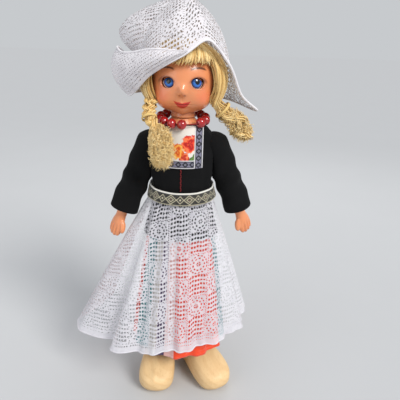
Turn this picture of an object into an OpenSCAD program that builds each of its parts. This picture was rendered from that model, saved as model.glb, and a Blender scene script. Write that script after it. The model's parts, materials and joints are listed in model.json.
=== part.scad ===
// Strung costume doll in Dutch regional dress, with sleep eyes, wig, lace cap and wooden clogs.
// Millimetres, +Z up. The doll faces -Y and stands on z = 0. Right and left are the doll's own.

/* [Trunk] */
// Height from the hip joints to the shoulder joints
trunk_h = 47; // [45:0.5:50]
// Width of the trunk at the hips
hip_w = 26; // [25:0.5:28]
// Depth of the trunk at the hips
hip_d = 19; // [17:0.5:21]
// Width of the trunk at the waist
waist_w = 24; // [22:0.5:25]
// Depth of the trunk at the waist
waist_d = 18; // [16:0.5:20]
// Width of the trunk at the chest
chest_w = 26; // [25:0.5:28]
// Depth of the trunk at the chest
chest_d = 21; // [19:0.5:23]
// Drop from the shoulder joints to the waist
waist_drop = 26; // [25:0.5:28]
// Height from the shoulder joints to the seat of the head
neck_h = 11.5; // [11:0.25:13]
// Diameter of the neck
neck_d = 11; // [10:0.25:12]
// Wall of the moulded trunk
trunk_wall = 1.2; // [0.8:0.1:1.6]
// Distance from the middle of the body to the flat seat of an arm
arm_seat_x = 12; // [11.6:0.1:12.2]
// Gap between the trunk and a limb or the head
joint_gap = 0.3; // [0.2:0.05:0.5]

/* [Arms] */
// Length of an arm from the shoulder joint to the finger tips
arm_l = 56; // [53:0.5:59]
// Diameter of the ball at the top of an arm
arm_ball_d = 10; // [9:0.2:10.4]
// Diameter of an arm at the elbow
elbow_d = 7.8; // [7:0.2:8.4]
// Width of a hand
hand_w = 8.8; // [7.5:0.1:9.5]
// Thickness of a hand
hand_t = 5.4; // [4.5:0.1:6]
// Angle by which a hand turns its thumb inwards
hand_turn = 45; // [30:5:60]
// Angle by which the arms stand off from the body
arm_tilt = 21.5; // [18:0.5:25]
// Angle by which the left arm rests swung back
arm_back = 10; // [0:1:15]

/* [Legs and clogs] */
// Height of the hip joints above the soles of the feet
leg_h = 85; // [82:0.5:90]
// Distance of each leg from the middle of the body
leg_x = 10.3; // [10.1:0.1:11]
// Diameter of the ball at the top of a leg
leg_ball_d = 12; // [11.4:0.2:12.2]
// Diameter of a leg at the calf
calf_d = 10; // [9:0.2:11]
// Diameter of a leg at the ankle
ankle_d = 8; // [7:0.2:8.6]
// Length of a foot
foot_l = 21; // [19:0.5:22]
// Width of a foot
foot_w = 10; // [9:0.2:10.4]
// Height of a foot
foot_h = 8; // [7:0.5:10]
// Length of a clog
clog_l = 39.5; // [38:0.5:42]
// Width of a clog across the toes
clog_w = 19.2; // [18:0.2:19.4]
// Height of a clog at the instep
clog_h = 17.5; // [16:0.5:18.5]
// Thickness of a clog's sole under the foot
sole_t = 3; // [2:0.25:4]
// Play between a foot and its clog
clog_fit = 0.4; // [0.2:0.05:0.6]
// Angle by which the right foot turns out
toe_out_right = 3; // [0:1:6]
// Angle by which the left foot turns out
toe_out_left = 33; // [28:1:35]

/* [Stringing] */
// Diameter of the elastic cords
elastic_d = 1.4; // [1:0.1:1.8]
// Diameter of a knot in the elastic
knot_d = 3; // [2.6:0.1:3.4]
// Play round the elastic in its bores
elastic_play = 0.1; // [0.05:0.05:0.2]
// Diameter of the neck hook's wire
hook_wire_d = 1.2; // [1:0.1:1.4]
// Inner diameter of the neck hook's ring
hook_ring_d = 4.4; // [4:0.1:5]

/* [Head] */
// Height of the head from the chin to the crown
head_h = 32; // [31:0.5:34]
// Width of the head
head_w = 30; // [29:0.2:31]
// Depth of the head
head_d = 29; // [28:0.5:30]
// Wall of the moulded head
head_wall = 1.4; // [1.2:0.1:1.6]
// Height of the chin above the seat of the head
chin_rise = 1.2; // [1:0.1:2]
// How far the nose stands out
nose_out = 2; // [1:0.1:2.4]
// Distance between the middles of the eye openings
eye_spacing = 14.2; // [13.9:0.1:14.5]
// Diameter of an eyeball
eye_d = 7.2; // [6.8:0.1:7.3]
// Width of an eye opening
eye_open_w = 6.6; // [6:0.1:6.8]
// Height of an eye opening
eye_open_h = 5; // [4.4:0.1:5.4]
// Height of the eyes above the middle of the head
eye_rise = -0.6; // [-1.5:0.1:0.5]
// Diameter of the eye axle
axle_d = 1.2; // [1:0.1:1.3]
// Running clearance of the eye axle in its bracket, on the radius
axle_play = 0.05; // [0.03:0.01:0.1]
// Thickness of the eye bracket
bracket_t = 1.2; // [0.8:0.1:1.3]
// Distance from the eye axle to the counterweight
weight_arm = 7; // [6.6:0.1:7.4]
// Diameter of the counterweight
weight_d = 3.2; // [2.6:0.1:3.6]

/* [Hair] */
// Width of the wig
hair_w = 41; // [39:0.5:43]
// Depth of the wig
hair_d = 37; // [36:0.5:39]
// Height of the wig above the middle of the head
hair_h = 18; // [17.6:0.2:19]
// Depth of the wig below the middle of the head
hair_drop = 14; // [12:0.5:14]
// Width of the face left free by the hair
face_w = 28.8; // [27.8:0.2:29.4]
// Height of the fringe above the middle of the head
fringe_rise = 7; // [5:0.25:8]
// Gap between the head and the wig
hair_gap = 0.3; // [0.2:0.05:0.5]
// Thickness of a bunch of hair
bunch_d = 11.6; // [9:0.2:11.8]
// Thickness of the thread that ties a bunch
tie_d = 1.2; // [0.8:0.1:1.6]

/* [Cap] */
// Height of the cap's peak above the middle of the head
cap_h = 36; // [32:0.5:40]
// Thickness of the starched lace
cap_t = 0.8; // [0.6:0.1:1]
// Gap between the cap and the hair
cap_gap = 0.3; // [0.2:0.05:0.5]
// How far the hanging wing on the left stands out from the crown
wing_flare = 16; // [13:0.5:17]
// How far the folded back corner stands out from the crown
cap_corner = 18; // [14:0.5:20]
// Height of the turned-up cuff
cuff_h = 21; // [17:0.5:22]
// How far the cuff bulges
cuff_bulge = 12; // [9:0.5:14]

/* [Clothes] */
// Thickness of the cloth
cloth_t = 0.7; // [0.5:0.05:0.8]
// Gap between two layers of cloth
cloth_gap = 0.35; // [0.25:0.05:0.45]
// Diameter of a sleeve at the shoulder
sleeve_d = 13.6; // [13:0.2:14.4]
// Diameter of a sleeve at the cuff
sleeve_end_d = 14.6; // [13.6:0.2:15.4]
// Length of a sleeve
sleeve_l = 39; // [37:0.5:43]
// Width of the bib
bib_w = 20.4; // [18:0.2:22]
// Drop from the shoulder joints to the lower edge of the bib
bib_drop = 11; // [9:0.25:12]
// Width of the ribbon round the bib
bib_ribbon = 4; // [3:0.25:5]
// Width of the stitched line down the jacket
placket_w = 1.6; // [1:0.1:2.4]
// Width of the jacket at its hem
peplum_w = 39; // [38.5:0.5:40]
// Depth of the jacket at its hem
peplum_d = 31; // [30:0.5:32]
// Drop from the waist to the jacket's hem
peplum_drop = 22; // [18:0.5:24]
// Height of the belt
belt_h = 6; // [5:0.25:7]
// How far the belt sags at the front
belt_sag = 3; // [1:0.25:4]
// How far the belt widens towards its lower edge
belt_flare = 1.4; // [1.2:0.1:2.4]
// Width of the skirt at the hem
skirt_w = 51; // [50:0.5:56]
// Depth of the skirt at the hem
skirt_d = 48; // [47:0.5:52]
// Height of the skirt's hem above the floor
skirt_hem_z = 23; // [22:0.5:28]
// Number of folds round the skirt
skirt_folds = 12; // [8:1:14]
// Depth of the skirt's folds at the hem
skirt_fold = 1; // [0.6:0.1:1.4]
// Height of the apron's hem above the floor
apron_hem_z = 29; // [28:0.5:36]
// Reach of the apron's hem to the right, where it is pulled out
apron_right = 54; // [50:0.5:56]
// Reach of the apron's hem to the front
apron_front = 27; // [26.5:0.25:29]
// Reach of the apron's hem to the left
apron_left = 36; // [35:0.5:38]
// Number of folds across the apron
apron_folds = 7; // [5:1:9]
// Depth of the apron's folds at the hem
apron_fold = 3; // [1.5:0.25:4]

/* [Necklace] */
// Diameter of the string of beads
necklace_d = 22; // [21.5:0.25:23]
// Number of beads
bead_count = 14; // [10:1:14]
// Length of a bead along the thread
bead_l = 4.5; // [4:0.1:4.7]
// Thickness of a bead
bead_d = 4.8; // [4:0.1:5]
// Diameter of the thread
thread_d = 0.6; // [0.4:0.05:0.7]

/* [Hidden] */
$fn = 48;

// Colours
skin = [0.86, 0.53, 0.36];
blond = [0.80, 0.63, 0.38];
lace = [0.93, 0.93, 0.92];
black_cloth = [0.05, 0.05, 0.06];
wood = [0.82, 0.66, 0.47];
steel = [0.62, 0.63, 0.65];
cord_white = [0.88, 0.86, 0.80];

// Heights that follow from the sizes above
hip_z = sole_t + leg_h;
shoulder_z = hip_z + trunk_h;
neck_z = shoulder_z + neck_h;
waist_z = shoulder_z - waist_drop;
chest_z = mix(waist_z, shoulder_z, 0.64);
head_z = neck_z + joint_gap;
chin_z = head_z + chin_rise;
head_c = chin_z + head_h / 2;
eye_z = head_c + eye_rise;
far = 300;

// Offsets of the layers of cloth from the trunk
skirt_off = cloth_gap;
jacket_off = skirt_off + cloth_t + cloth_gap;
apron_off = jacket_off + cloth_t + cloth_gap;
belt_off = apron_off + cloth_t + cloth_gap;

// Value between a and b at share t
function mix(a, b, t) = a + (b - a) * t;

// Share of the way from a to b, kept between 0 and 1
function share(a, b, x) = max(0, min(1, (x - a) / (b - a)));

// Smooth curve through rows [x, values...], read at x
function row_slope(rows, i) =
    let (a = rows[max(i - 1, 0)], b = rows[min(i + 1, len(rows) - 1)]) (b - a) / (b[0] - a[0]);
function row_index(rows, x) = max([0, for (k = [0 : len(rows) - 2]) if (rows[k][0] <= x) k]);
function level(rows, x) =
    let (
        i = row_index(rows, x),
        p = rows[i],
        q = rows[i + 1],
        h = q[0] - p[0],
        t = share(p[0], q[0], x)
    )
    (2 * t ^ 3 - 3 * t ^ 2 + 1) * p + (t ^ 3 - 2 * t ^ 2 + t) * h * row_slope(rows, i)
    + (3 * t ^ 2 - 2 * t ^ 3) * q + (t ^ 3 - t ^ 2) * h * row_slope(rows, i + 1);

// Evenly spaced values from a to b
function steps(a, b, n) = [for (i = [0 : n]) mix(a, b, i / n)];

// Oval ring of n points, counted from the front towards +X
function oval(c, a, b, n) =
    [for (i = [0 : n - 1]) let (t = 360 * i / n) [c[0] + a * sin(t), c[1] - b * cos(t), c[2]]];

function unit(v) = v / norm(v);

// Faces of the wall between two neighbouring rings of n points
function wall_faces(n, m) = [
    for (j = [0 : m - 2], i = [0 : n - 1])
        let (a = j * n + i, b = j * n + (i + 1) % n, c = a + n, d = b + n)
            each [[a, c, d], [a, d, b]]
];
function turned(faces, shift) = [for (f = faces) [f[2] + shift, f[1] + shift, f[0] + shift]];
function fan(n, start) = [for (i = [1 : n - 2]) [start, start + i, start + i + 1]];

// Closed solid through rings that run upwards
module loft(rings) {
    n = len(rings[0]);
    m = len(rings);
    polyhedron(
        [for (r = rings) each r],
        concat(wall_faces(n, m), fan(n, 0), turned(fan(n, (m - 1) * n), 0))
    );
}

// Tube wall between outer and inner rings that run upwards, open at both ends
module tube_wall(outer, inner) {
    n = len(outer[0]);
    m = len(outer);
    k = n * m;
    rim = [
        for (i = [0 : n - 1])
            let (j = (i + 1) % n) each [[i, j, k + j], [i, k + j, k + i]]
    ];
    top = turned(rim, (m - 1) * n);
    polyhedron(
        [for (r = concat(outer, inner)) each r],
        concat(wall_faces(n, m), turned(wall_faces(n, m), k), rim, top)
    );
}

// Cup between outer and inner rings, open at its lower end and closed on top
module cup_wall(outer, inner) {
    n = len(outer[0]);
    m = len(outer);
    k = n * m;
    rim = [
        for (i = [0 : n - 1])
            let (j = (i + 1) % n) each [[i, j, k + j], [i, k + j, k + i]]
    ];
    lid = fan(n, (m - 1) * n);
    polyhedron(
        [for (r = concat(outer, inner)) each r],
        concat(
            wall_faces(n, m),
            turned(wall_faces(n, m), k),
            rim,
            turned(lid, 0),
            [for (f = lid) f + [k, k, k]]
        )
    );
}

// Open sheet between an outer and an inner grid of rows that run upwards and columns that run to the right
module sheet(outer, inner) {
    n = len(outer[0]);
    m = len(outer);
    k = n * m;
    skin_faces = [
        for (j = [0 : m - 2], i = [0 : n - 2])
            let (a = j * n + i) each [[a, a + n, a + n + 1], [a, a + n + 1, a + 1]]
    ];
    low = [for (i = [0 : n - 2]) each [[i, i + 1, k + i + 1], [i, k + i + 1, k + i]]];
    high = turned(low, (m - 1) * n);
    first = [for (j = [0 : m - 2]) let (a = j * n) each [[a, k + a, k + a + n], [a, k + a + n, a + n]]];
    last = turned(first, n - 1);
    polyhedron(
        [for (r = concat(outer, inner)) each r],
        concat(skin_faces, turned(skin_faces, k), low, high, first, last)
    );
}

// Rings of n points square to a path, with one radius for each of its points
function path_dir(path, i) = unit(path[min(i + 1, len(path) - 1)] - path[max(i - 1, 0)]);
function path_rings(path, radii, n) = [
    for (i = [0 : len(path) - 1])
        let (w = path_dir(path, i), u = unit(cross([0, 1, 0], w)), v = cross(w, u))
            [for (k = [0 : n - 1]) path[i] + radii[i] * (cos(360 * k / n) * u + sin(360 * k / n) * v)]
];

// Mirrors a piece made for the left side when the right one is wanted
module on_side(side) {
    mirror([side < 0 ? 1 : 0, 0, 0]) children();
}

// Everything to one side of a plane
module beyond_x(x) translate([x, -far, -far]) cube(2 * far);
module above_z(z) translate([-far, -far, z]) cube(2 * far);
module in_front() translate([-far, -2 * far, -far]) cube(2 * far);
module rod_x(x0, x1, d, y, z) translate([x0, y, z]) rotate([0, 90, 0]) cylinder(h = x1 - x0, d = d);

// Trunk

trunk_sides = 28;
crotch_drop = 8;
crotch_in = 5;
hip_rise = 5;
shoulder_rise = 1;
shoulder_in = [0.4, 1.2];
yoke_rise = 6.5;
yoke_out = [5, 3];
collar_drop = 2.5;
collar_out = 1.6;
// Rows up the trunk: height, half width, half depth
trunk_rows = [
    [hip_z - crotch_drop, hip_w / 2 - crotch_in, hip_d / 2 - crotch_in],
    [hip_z + hip_rise, hip_w / 2, hip_d / 2],
    [waist_z, waist_w / 2, waist_d / 2],
    [chest_z, chest_w / 2, chest_d / 2],
    [shoulder_z + shoulder_rise, chest_w / 2 - shoulder_in[0], chest_d / 2 - shoulder_in[1]],
    [shoulder_z + yoke_rise, neck_d / 2 + yoke_out[0], neck_d / 2 + yoke_out[1]],
    [neck_z - collar_drop, neck_d / 2 + collar_out, neck_d / 2 + collar_out],
    [neck_z, neck_d / 2, neck_d / 2]
];

// Ring round the trunk at height z, set out by off
function trunk_ring(z, off) =
    let (r = level(trunk_rows, z)) oval([0, 0, z], r[1] + off, r[2] + off, trunk_sides);
function trunk_rings(z0, z1, n, off) = [for (z = steps(z0, z1, n)) trunk_ring(z, off)];

leg_ball_r = leg_ball_d / 2;
core_x = leg_x - leg_ball_r - joint_gap;
cavity_z = hip_z + leg_ball_r + joint_gap + trunk_wall;
cavity_drop = 4;
cavity_top = neck_z - cavity_drop;
elastic_bore_d = elastic_d + 2 * elastic_play;
hook_play = 0.5;
hook_bore_d = hook_wire_d + 2 * hook_play;

// Sockets, seats and bores that both halves of the trunk share
module trunk_cuts() {
    loft(trunk_rings(cavity_z, cavity_top, 7, -trunk_wall));
    rod_x(-far, far, elastic_bore_d, 0, shoulder_z);
    rod_x(-far, far, elastic_bore_d, 0, hip_z);
    translate([0, 0, cavity_top - 1]) cylinder(h = far, d = hook_bore_d);
    for (side = [-1, 1]) on_side(side) {
        intersection() {
            beyond_x(arm_seat_x);
            above_z(shoulder_z - arm_ball_d);
        }
        rod_x(core_x, far, leg_ball_d + 2 * joint_gap, 0, hip_z);
        difference() {
            beyond_x(core_x);
            above_z(hip_z);
        }
    }
}

module trunk_solid() {
    difference() {
        loft(trunk_rings(hip_z - crotch_drop, neck_z, 13, 0));
        trunk_cuts();
    }
}

module torso_front() {
    color(skin) at_axis() intersection() {
        trunk_solid();
        in_front();
    }
}

module torso_back() {
    color(skin) at_axis() difference() {
        trunk_solid();
        in_front();
    }
}

// Stringing

arm_bore_l = 6.2;
leg_bore_l = 2.6;
knot_x = arm_seat_x + arm_bore_l;
hip_knot_x = leg_x + leg_bore_l;
knot_gap = 0.05;
knot_play = 0.2;

// Elastic cord along X with a knot at each end
module strung_cord(z, reach) {
    knot_mid = reach + knot_gap + knot_d / 2;
    rod_x(-knot_mid, knot_mid, elastic_d, 0, z);
    for (side = [-1, 1]) translate([side * knot_mid, 0, z]) sphere(d = knot_d);
}

module shoulder_elastic() color(cord_white) at_axis() strung_cord(shoulder_z, knot_x);

module hip_elastic() color(cord_white) at_axis() strung_cord(hip_z, hip_knot_x);

// Bore for the elastic through a limb, with a recess for the knot on the outer side
module strung_bore(z, reach) {
    rod_x(-far, far, elastic_bore_d, 0, z);
    rod_x(reach, far, knot_d + 2 * knot_play, 0, z);
}

hook_ring_z = shoulder_z + hook_ring_d / 2 - elastic_d / 2 - elastic_play;
hook_ring_r = (hook_ring_d + hook_wire_d) / 2;
neck_floor_t = 2.4;
neck_floor_z = head_z + neck_floor_t;
hook_bar_l = 6;

module neck_hook() {
    color(steel) at_axis() {
        translate([0, 0, hook_ring_z]) rotate([0, 90, 0]) rotate_extrude()
            translate([hook_ring_r, 0]) circle(d = hook_wire_d);
        translate([0, 0, hook_ring_z + hook_ring_r])
            cylinder(h = neck_floor_z + hook_wire_d / 2 - hook_ring_z - hook_ring_r, d = hook_wire_d);
        rod_x(-hook_bar_l / 2, hook_bar_l / 2, hook_wire_d, 0, neck_floor_z + hook_wire_d / 2);
    }
}

// Arms and sleeves, made for the left side along -Z from the shoulder joint

arm_stand = 3.5;
arm_x = arm_seat_x + arm_stand;
arm_sides = 14;
wrist_d = 5.4;
arm_boss_d = arm_ball_d - 0.6;
hand_l = 13;
upper_arm_l = 10;
elbow_l = 22;
// Rows down the arm: place, half thickness, half width
arm_rows = [
    [-0.48 * arm_ball_d, 0.8, 0.8],
    [-0.36 * arm_ball_d, 0.34 * arm_ball_d, 0.34 * arm_ball_d],
    [0, arm_ball_d / 2, arm_ball_d / 2],
    [upper_arm_l, elbow_d / 2 + 0.4, elbow_d / 2 + 0.4],
    [elbow_l, elbow_d / 2, elbow_d / 2],
    [arm_l - hand_l, wrist_d / 2, wrist_d / 2 + 0.3],
    [arm_l - 8, hand_t / 2, hand_w / 2 - 0.3],
    [arm_l - 4.5, hand_t / 2 - 0.3, hand_w / 2],
    [arm_l - 1.2, hand_t / 2 - 0.9, hand_w / 2 - 1],
    [arm_l, 0.7, 1.6]
];
arm_at = [-0.48, -0.42, -0.3, -0.15, 0];
arm_stops = concat(
    [for (s = arm_at) s * arm_ball_d],
    steps(upper_arm_l / 2, arm_l - hand_l, 5),
    steps(arm_l - hand_l + 2, arm_l - 3, 4),
    [arm_l - 1.2, arm_l]
);

function hand_turned(p, a) = [p[0] * cos(a) - p[1] * sin(a), p[0] * sin(a) + p[1] * cos(a), p[2]];
function hand_angle(s) = -hand_turn * share(arm_l - hand_l - 6, arm_l - hand_l + 4, s);
// Oval of an arm s below the shoulder joint
function arm_ring(s) =
    let (r = level(arm_rows, s))
        [for (p = oval([0, 0, -s], r[1], r[2], arm_sides)) hand_turned(p, hand_angle(s))];

thumb_at = [[0, -2.4, 10 - arm_l], [0, -4, 8.4 - arm_l], [0, -5.2, 6 - arm_l], [0, -5.5, 4 - arm_l]];
thumb_path = [for (p = thumb_at) hand_turned(p, -hand_turn)];
thumb_radii = [1.5, 1.5, 1.3, 0.7];

// Places a piece of the arm in its resting pose
module at_shoulder(swing) {
    translate([arm_x, 0, shoulder_z]) rotate([swing, 0, 0]) rotate([0, -arm_tilt, 0]) children();
}

module arm(side, swing) {
    color(skin) at_axis() on_side(side) difference() {
        union() {
            intersection() {
                at_shoulder(swing) union() {
                    loft([for (i = [len(arm_stops) - 1 : -1 : 0]) arm_ring(arm_stops[i])]);
                    loft(path_rings(thumb_path, thumb_radii, 8));
                }
                beyond_x(armhole_x);
            }
            rod_x(arm_seat_x + joint_gap, armhole_x + 1, arm_boss_d, 0, shoulder_z);
        }
        strung_bore(shoulder_z, knot_x);
    }
}

module arm_right() arm(-1, 0);

module arm_left() arm(1, arm_back);

armhole_x = chest_w / 2 + jacket_off + cloth_t + cloth_gap;
sleeve_sides = 24;
sleeve_r = sleeve_d / 2;

// Radius of a sleeve s below the shoulder joint: a dome on top, then a slow flare
function sleeve_radius(s, off) =
    s < 0 ? sqrt(max(0.25, (sleeve_r - off) ^ 2 - s ^ 2))
    : mix(sleeve_r, sleeve_end_d / 2, share(0, sleeve_l, s) ^ 2) - off;
sleeve_domes = [0.2, 0.5, 0.8, 0.97];
function sleeve_stops(off) = concat(steps(sleeve_l, 0, 5), [for (d = sleeve_domes) -d * (sleeve_r - off)]);
function sleeve_rings(off) = [
    for (s = sleeve_stops(off)) oval([0, 0, -s], sleeve_radius(s, off), sleeve_radius(s, off), sleeve_sides)
];

module sleeve(side, swing) {
    color(black_cloth) at_axis() on_side(side) intersection() {
        at_shoulder(swing) cup_wall(sleeve_rings(0), sleeve_rings(cloth_t));
        beyond_x(armhole_x);
    }
}

module sleeve_right() sleeve(-1, 0);

module sleeve_left() sleeve(1, arm_back);

// Legs and clogs, made for the left side

knee_d = 9.4;
ankle_in = 2;
ankle_l = 8;
leg_foot_z = sole_t + foot_h - ankle_in;
// Rows up the leg: height, radius
leg_rows = [
    [leg_foot_z, ankle_d / 2],
    [leg_foot_z + ankle_l, ankle_d / 2],
    [sole_t + 0.42 * leg_h, calf_d / 2],
    [sole_t + 0.58 * leg_h, knee_d / 2],
    [sole_t + 0.85 * leg_h, leg_ball_r - 0.4],
    [hip_z, leg_ball_r]
];
leg_ball_arc = [for (a = [10 : 10 : 80]) [leg_ball_r * cos(a), hip_z + leg_ball_r * sin(a)]];
leg_profile = concat(
    [[0, leg_foot_z]],
    [for (z = steps(leg_foot_z, hip_z, 12)) [level(leg_rows, z)[1], z]],
    leg_ball_arc,
    [[0, hip_z + leg_ball_r]]
);
foot_heel_y = 6;

// Outline of a foot grown by off, with the toes towards -Y
module foot_plan(off) {
    r = foot_w / 2 + off;
    toe_y = foot_heel_y - (foot_l - foot_w);
    translate([0, foot_heel_y]) circle(r);
    translate([0, toe_y]) circle(r);
    translate([-r, toe_y]) square([2 * r, foot_l - foot_w]);
}

module leg(side, toe_out) {
    color(skin) at_axis() on_side(side) difference() {
        translate([leg_x, 0, 0]) {
            rotate_extrude() polygon(leg_profile);
            translate([0, 0, sole_t]) rotate(toe_out) linear_extrude(foot_h) foot_plan(0);
        }
        strung_bore(hip_z, hip_knot_x);
    }
}

module leg_right() leg(-1, toe_out_right);

module leg_left() leg(1, toe_out_left);

heel_r = 6.3;
clog_heel_y = foot_heel_y + heel_r;
clog_toe_y = clog_heel_y - clog_l;
clog_sides = 20;
// Rows along the clog: place, half width, height of the top, height of the bottom
clog_rows = [
    [clog_toe_y, 2.4, 8.2, 4.6],
    [clog_toe_y + 1.6, 5.8, 10.4, 2.2],
    [clog_toe_y + 6, 0.47 * clog_w, 12.6, -0.4],
    [clog_toe_y + 13, clog_w / 2, clog_h - 2, -0.8],
    [clog_toe_y + 20, 0.46 * clog_w, clog_h, -0.8],
    [foot_heel_y - 4, heel_r + 0.6, clog_h - 0.8, -0.8],
    [foot_heel_y, heel_r, clog_h - 1.6, -0.8],
    [clog_heel_y - 1.4, 0.62 * heel_r, clog_h - 2.6, -0.4],
    [clog_heel_y, 1.6, clog_h - 4.4, 1.5]
];
function signed_pow(x, p) = sign(x) * abs(x) ^ p;
// Boxy ring across the clog at y
function clog_ring(y) =
    let (r = level(clog_rows, y), mid = (r[2] + r[3]) / 2, half = (r[2] - r[3]) / 2)
        [for (i = [0 : clog_sides - 1])
            let (t = 360 * i / clog_sides)
                [r[1] * signed_pow(sin(t), 0.8), y, mid + half * signed_pow(cos(t), 0.7)]];
clog_stops = concat(
    [clog_toe_y, clog_toe_y + 1.6, clog_toe_y + 3.6],
    steps(clog_toe_y + 6, clog_heel_y - 1.4, 8),
    [clog_heel_y]
);

module clog(side, toe_out) {
    color(wood) at_axis() on_side(side) translate([leg_x, 0, 0]) rotate(toe_out) difference() {
        intersection() {
            loft([for (y = clog_stops) clog_ring(y)]);
            above_z(0);
        }
        translate([0, 0, sole_t]) linear_extrude(far) foot_plan(clog_fit);
    }
}

module clog_right() clog(-1, toe_out_right);

module clog_left() clog(1, toe_out_left);

// Head and sleep eyes

head_a = head_w / 2;
head_b = head_d / 2;
head_half = head_h / 2;
head_sides = 40;
lat_stops = concat(steps(-86, -62, 3), steps(-54, 26, 14), steps(36, 86, 6));

// Swellings of the face: how far out, longitude from the front, latitude, and half spans of both
face_swells = [
    [nose_out, 0, -14, 7, 9],
    [1.8, 40, -34, 19, 17],
    [1.7, 0, -64, 24, 12],
    [0.7, 0, -38, 14, 8],
    [-0.7, 27, -1, 11, 9],
    [0.4, 0, 36, 40, 24]
];
function swell(s, lon, lat) = s[0] * exp(-((abs(lon) - s[1]) / s[3]) ^ 2 - ((lat - s[2]) / s[4]) ^ 2);
// How far the face stands out at a longitude and a latitude
function face_out(lon, lat) = [for (s = face_swells) swell(s, lon, lat)] * [for (s = face_swells) 1];
// Longitudes are closer together on the face
lon_spread = 0.45;
function half_turn(i) = 2 * i / head_sides - (i * 2 > head_sides ? 2 : 0);
function head_lon(i) = let (s = half_turn(i)) 180 * s * (lon_spread + (1 - lon_spread) * abs(s));
jaw_in = 0.1;
function head_ring(lat) = [
    for (i = [0 : head_sides - 1])
        let (
            lon = head_lon(i),
            out = face_out(lon, lat),
            jaw = 1 - jaw_in * share(-10, -80, lat)
        )
            [
                (head_a + out) * jaw * cos(lat) * sin(lon),
                -(head_b + out) * cos(lat) * cos(lon),
                head_c + (head_half + out / 2) * sin(lat)
            ]
];

// Ellipsoid round the middle of the head
module head_egg(a, b, c) translate([0, 0, head_c]) scale([1, b / a, c / a]) sphere(r = a);

module head_hollow() head_egg(head_a - head_wall, head_b - head_wall, head_half - head_wall);

// Where an eye meets the face, how the face slopes there, and the middle of the eyeball behind it
lid_gap = 0.2;
eye_set = 0.3;
lid_cut = 6;
eye_sx = eye_spacing / 2;
eye_sy = -head_b * sqrt(1 - (eye_sx / head_a) ^ 2);
eye_yaw = atan2(eye_sx / head_a ^ 2, -eye_sy / head_b ^ 2);
eye_depth = eye_d / 2 + lid_gap + eye_set;
eye_x = eye_sx - eye_depth * sin(eye_yaw);
eye_y = eye_sy + eye_depth * cos(eye_yaw);

// Cuts for one eye: the opening in the face and the round seat behind it
module eye_cut() {
    r = eye_open_h / 2;
    flat = eye_open_w / 2 - r;
    translate([eye_sx, eye_sy, eye_z]) rotate([90, 0, eye_yaw]) linear_extrude(lid_cut, center = true) {
        for (x = [-flat, flat]) translate([x, 0]) circle(r);
        translate([-flat, -r]) square([2 * flat, 2 * r]);
    }
    translate([eye_x, eye_y, eye_z]) sphere(d = eye_d + 2 * joint_gap);
}

neck_plug_h = chin_rise + 3;
neck_plug_d = neck_d + 1;

module head_solid() {
    difference() {
        union() {
            loft([for (lat = lat_stops) head_ring(lat)]);
            translate([0, 0, head_z]) cylinder(h = neck_plug_h, d = neck_plug_d);
        }
        head_hollow();
        translate([0, 0, neck_floor_z]) cylinder(h = neck_plug_h, d = hook_bar_l + 2 * hook_play);
        translate([0, 0, head_z - 1]) cylinder(h = neck_plug_h, d = hook_bore_d);
    }
}

module head_front() {
    color(skin) at_axis() difference() {
        intersection() {
            head_solid();
            in_front();
        }
        for (side = [-1, 1]) on_side(side) eye_cut();
    }
}

module head_back() {
    color(skin) at_axis() difference() {
        head_solid();
        in_front();
    }
}

weight_lean = 35;
weight_y = eye_y + weight_arm * sin(weight_lean);
weight_z = eye_z - weight_arm * cos(weight_lean);
bow_d = 1;
bow_start = 1.9;

// Wire of the counterweight's bow, from the middle of an eye to the weight
module bow_wire() {
    translate([eye_x, eye_y, eye_z]) rotate([-180 + weight_lean, 0, 0])
        translate([0, 0, bow_start]) cylinder(h = weight_arm - bow_start, d = bow_d);
}

module eye(side) {
    color([0.25, 0.5, 0.85]) at_axis() on_side(side) difference() {
        translate([eye_x, eye_y, eye_z]) sphere(d = eye_d);
        rod_x(-far, far, axle_d, eye_y, eye_z);
        bow_wire();
    }
}

module eye_right() eye(-1);

module eye_left() eye(1);

module eye_axle() color(steel) at_axis() rod_x(-eye_x - eye_d / 2, eye_x + eye_d / 2, axle_d, eye_y, eye_z);

module eye_weight() {
    color([0.35, 0.36, 0.38]) at_axis() {
        for (side = [-1, 1]) on_side(side) bow_wire();
        rod_x(-eye_x - 1, eye_x + 1, weight_d, weight_y, weight_z);
    }
}

bracket_h = 3.4;

module eye_bracket() {
    color(cord_white) at_axis() difference() {
        intersection() {
            translate([-bracket_t / 2, -head_b, eye_z - bracket_h / 2])
                cube([bracket_t, head_b + eye_y + bracket_h / 2, bracket_h]);
            head_hollow();
        }
        rod_x(-far, far, axle_d + 2 * axle_play, eye_y, eye_z);
    }
}

// Hair

hair_a = hair_w / 2;
hair_b = hair_d / 2;
hair_front_y = 5;

module wig_egg(off) head_egg(hair_a + off, hair_b + off, hair_h + off);

module wig_cap() {
    color(blond) at_axis() difference() {
        intersection() {
            wig_egg(0);
            above_z(head_c - hair_drop);
        }
        head_egg(head_a + hair_gap, head_b + hair_gap, head_half + hair_gap);
        translate([-face_w / 2, -far, -far]) cube([face_w, far - hair_front_y, far + head_c + fringe_rise]);
    }
}

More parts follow.
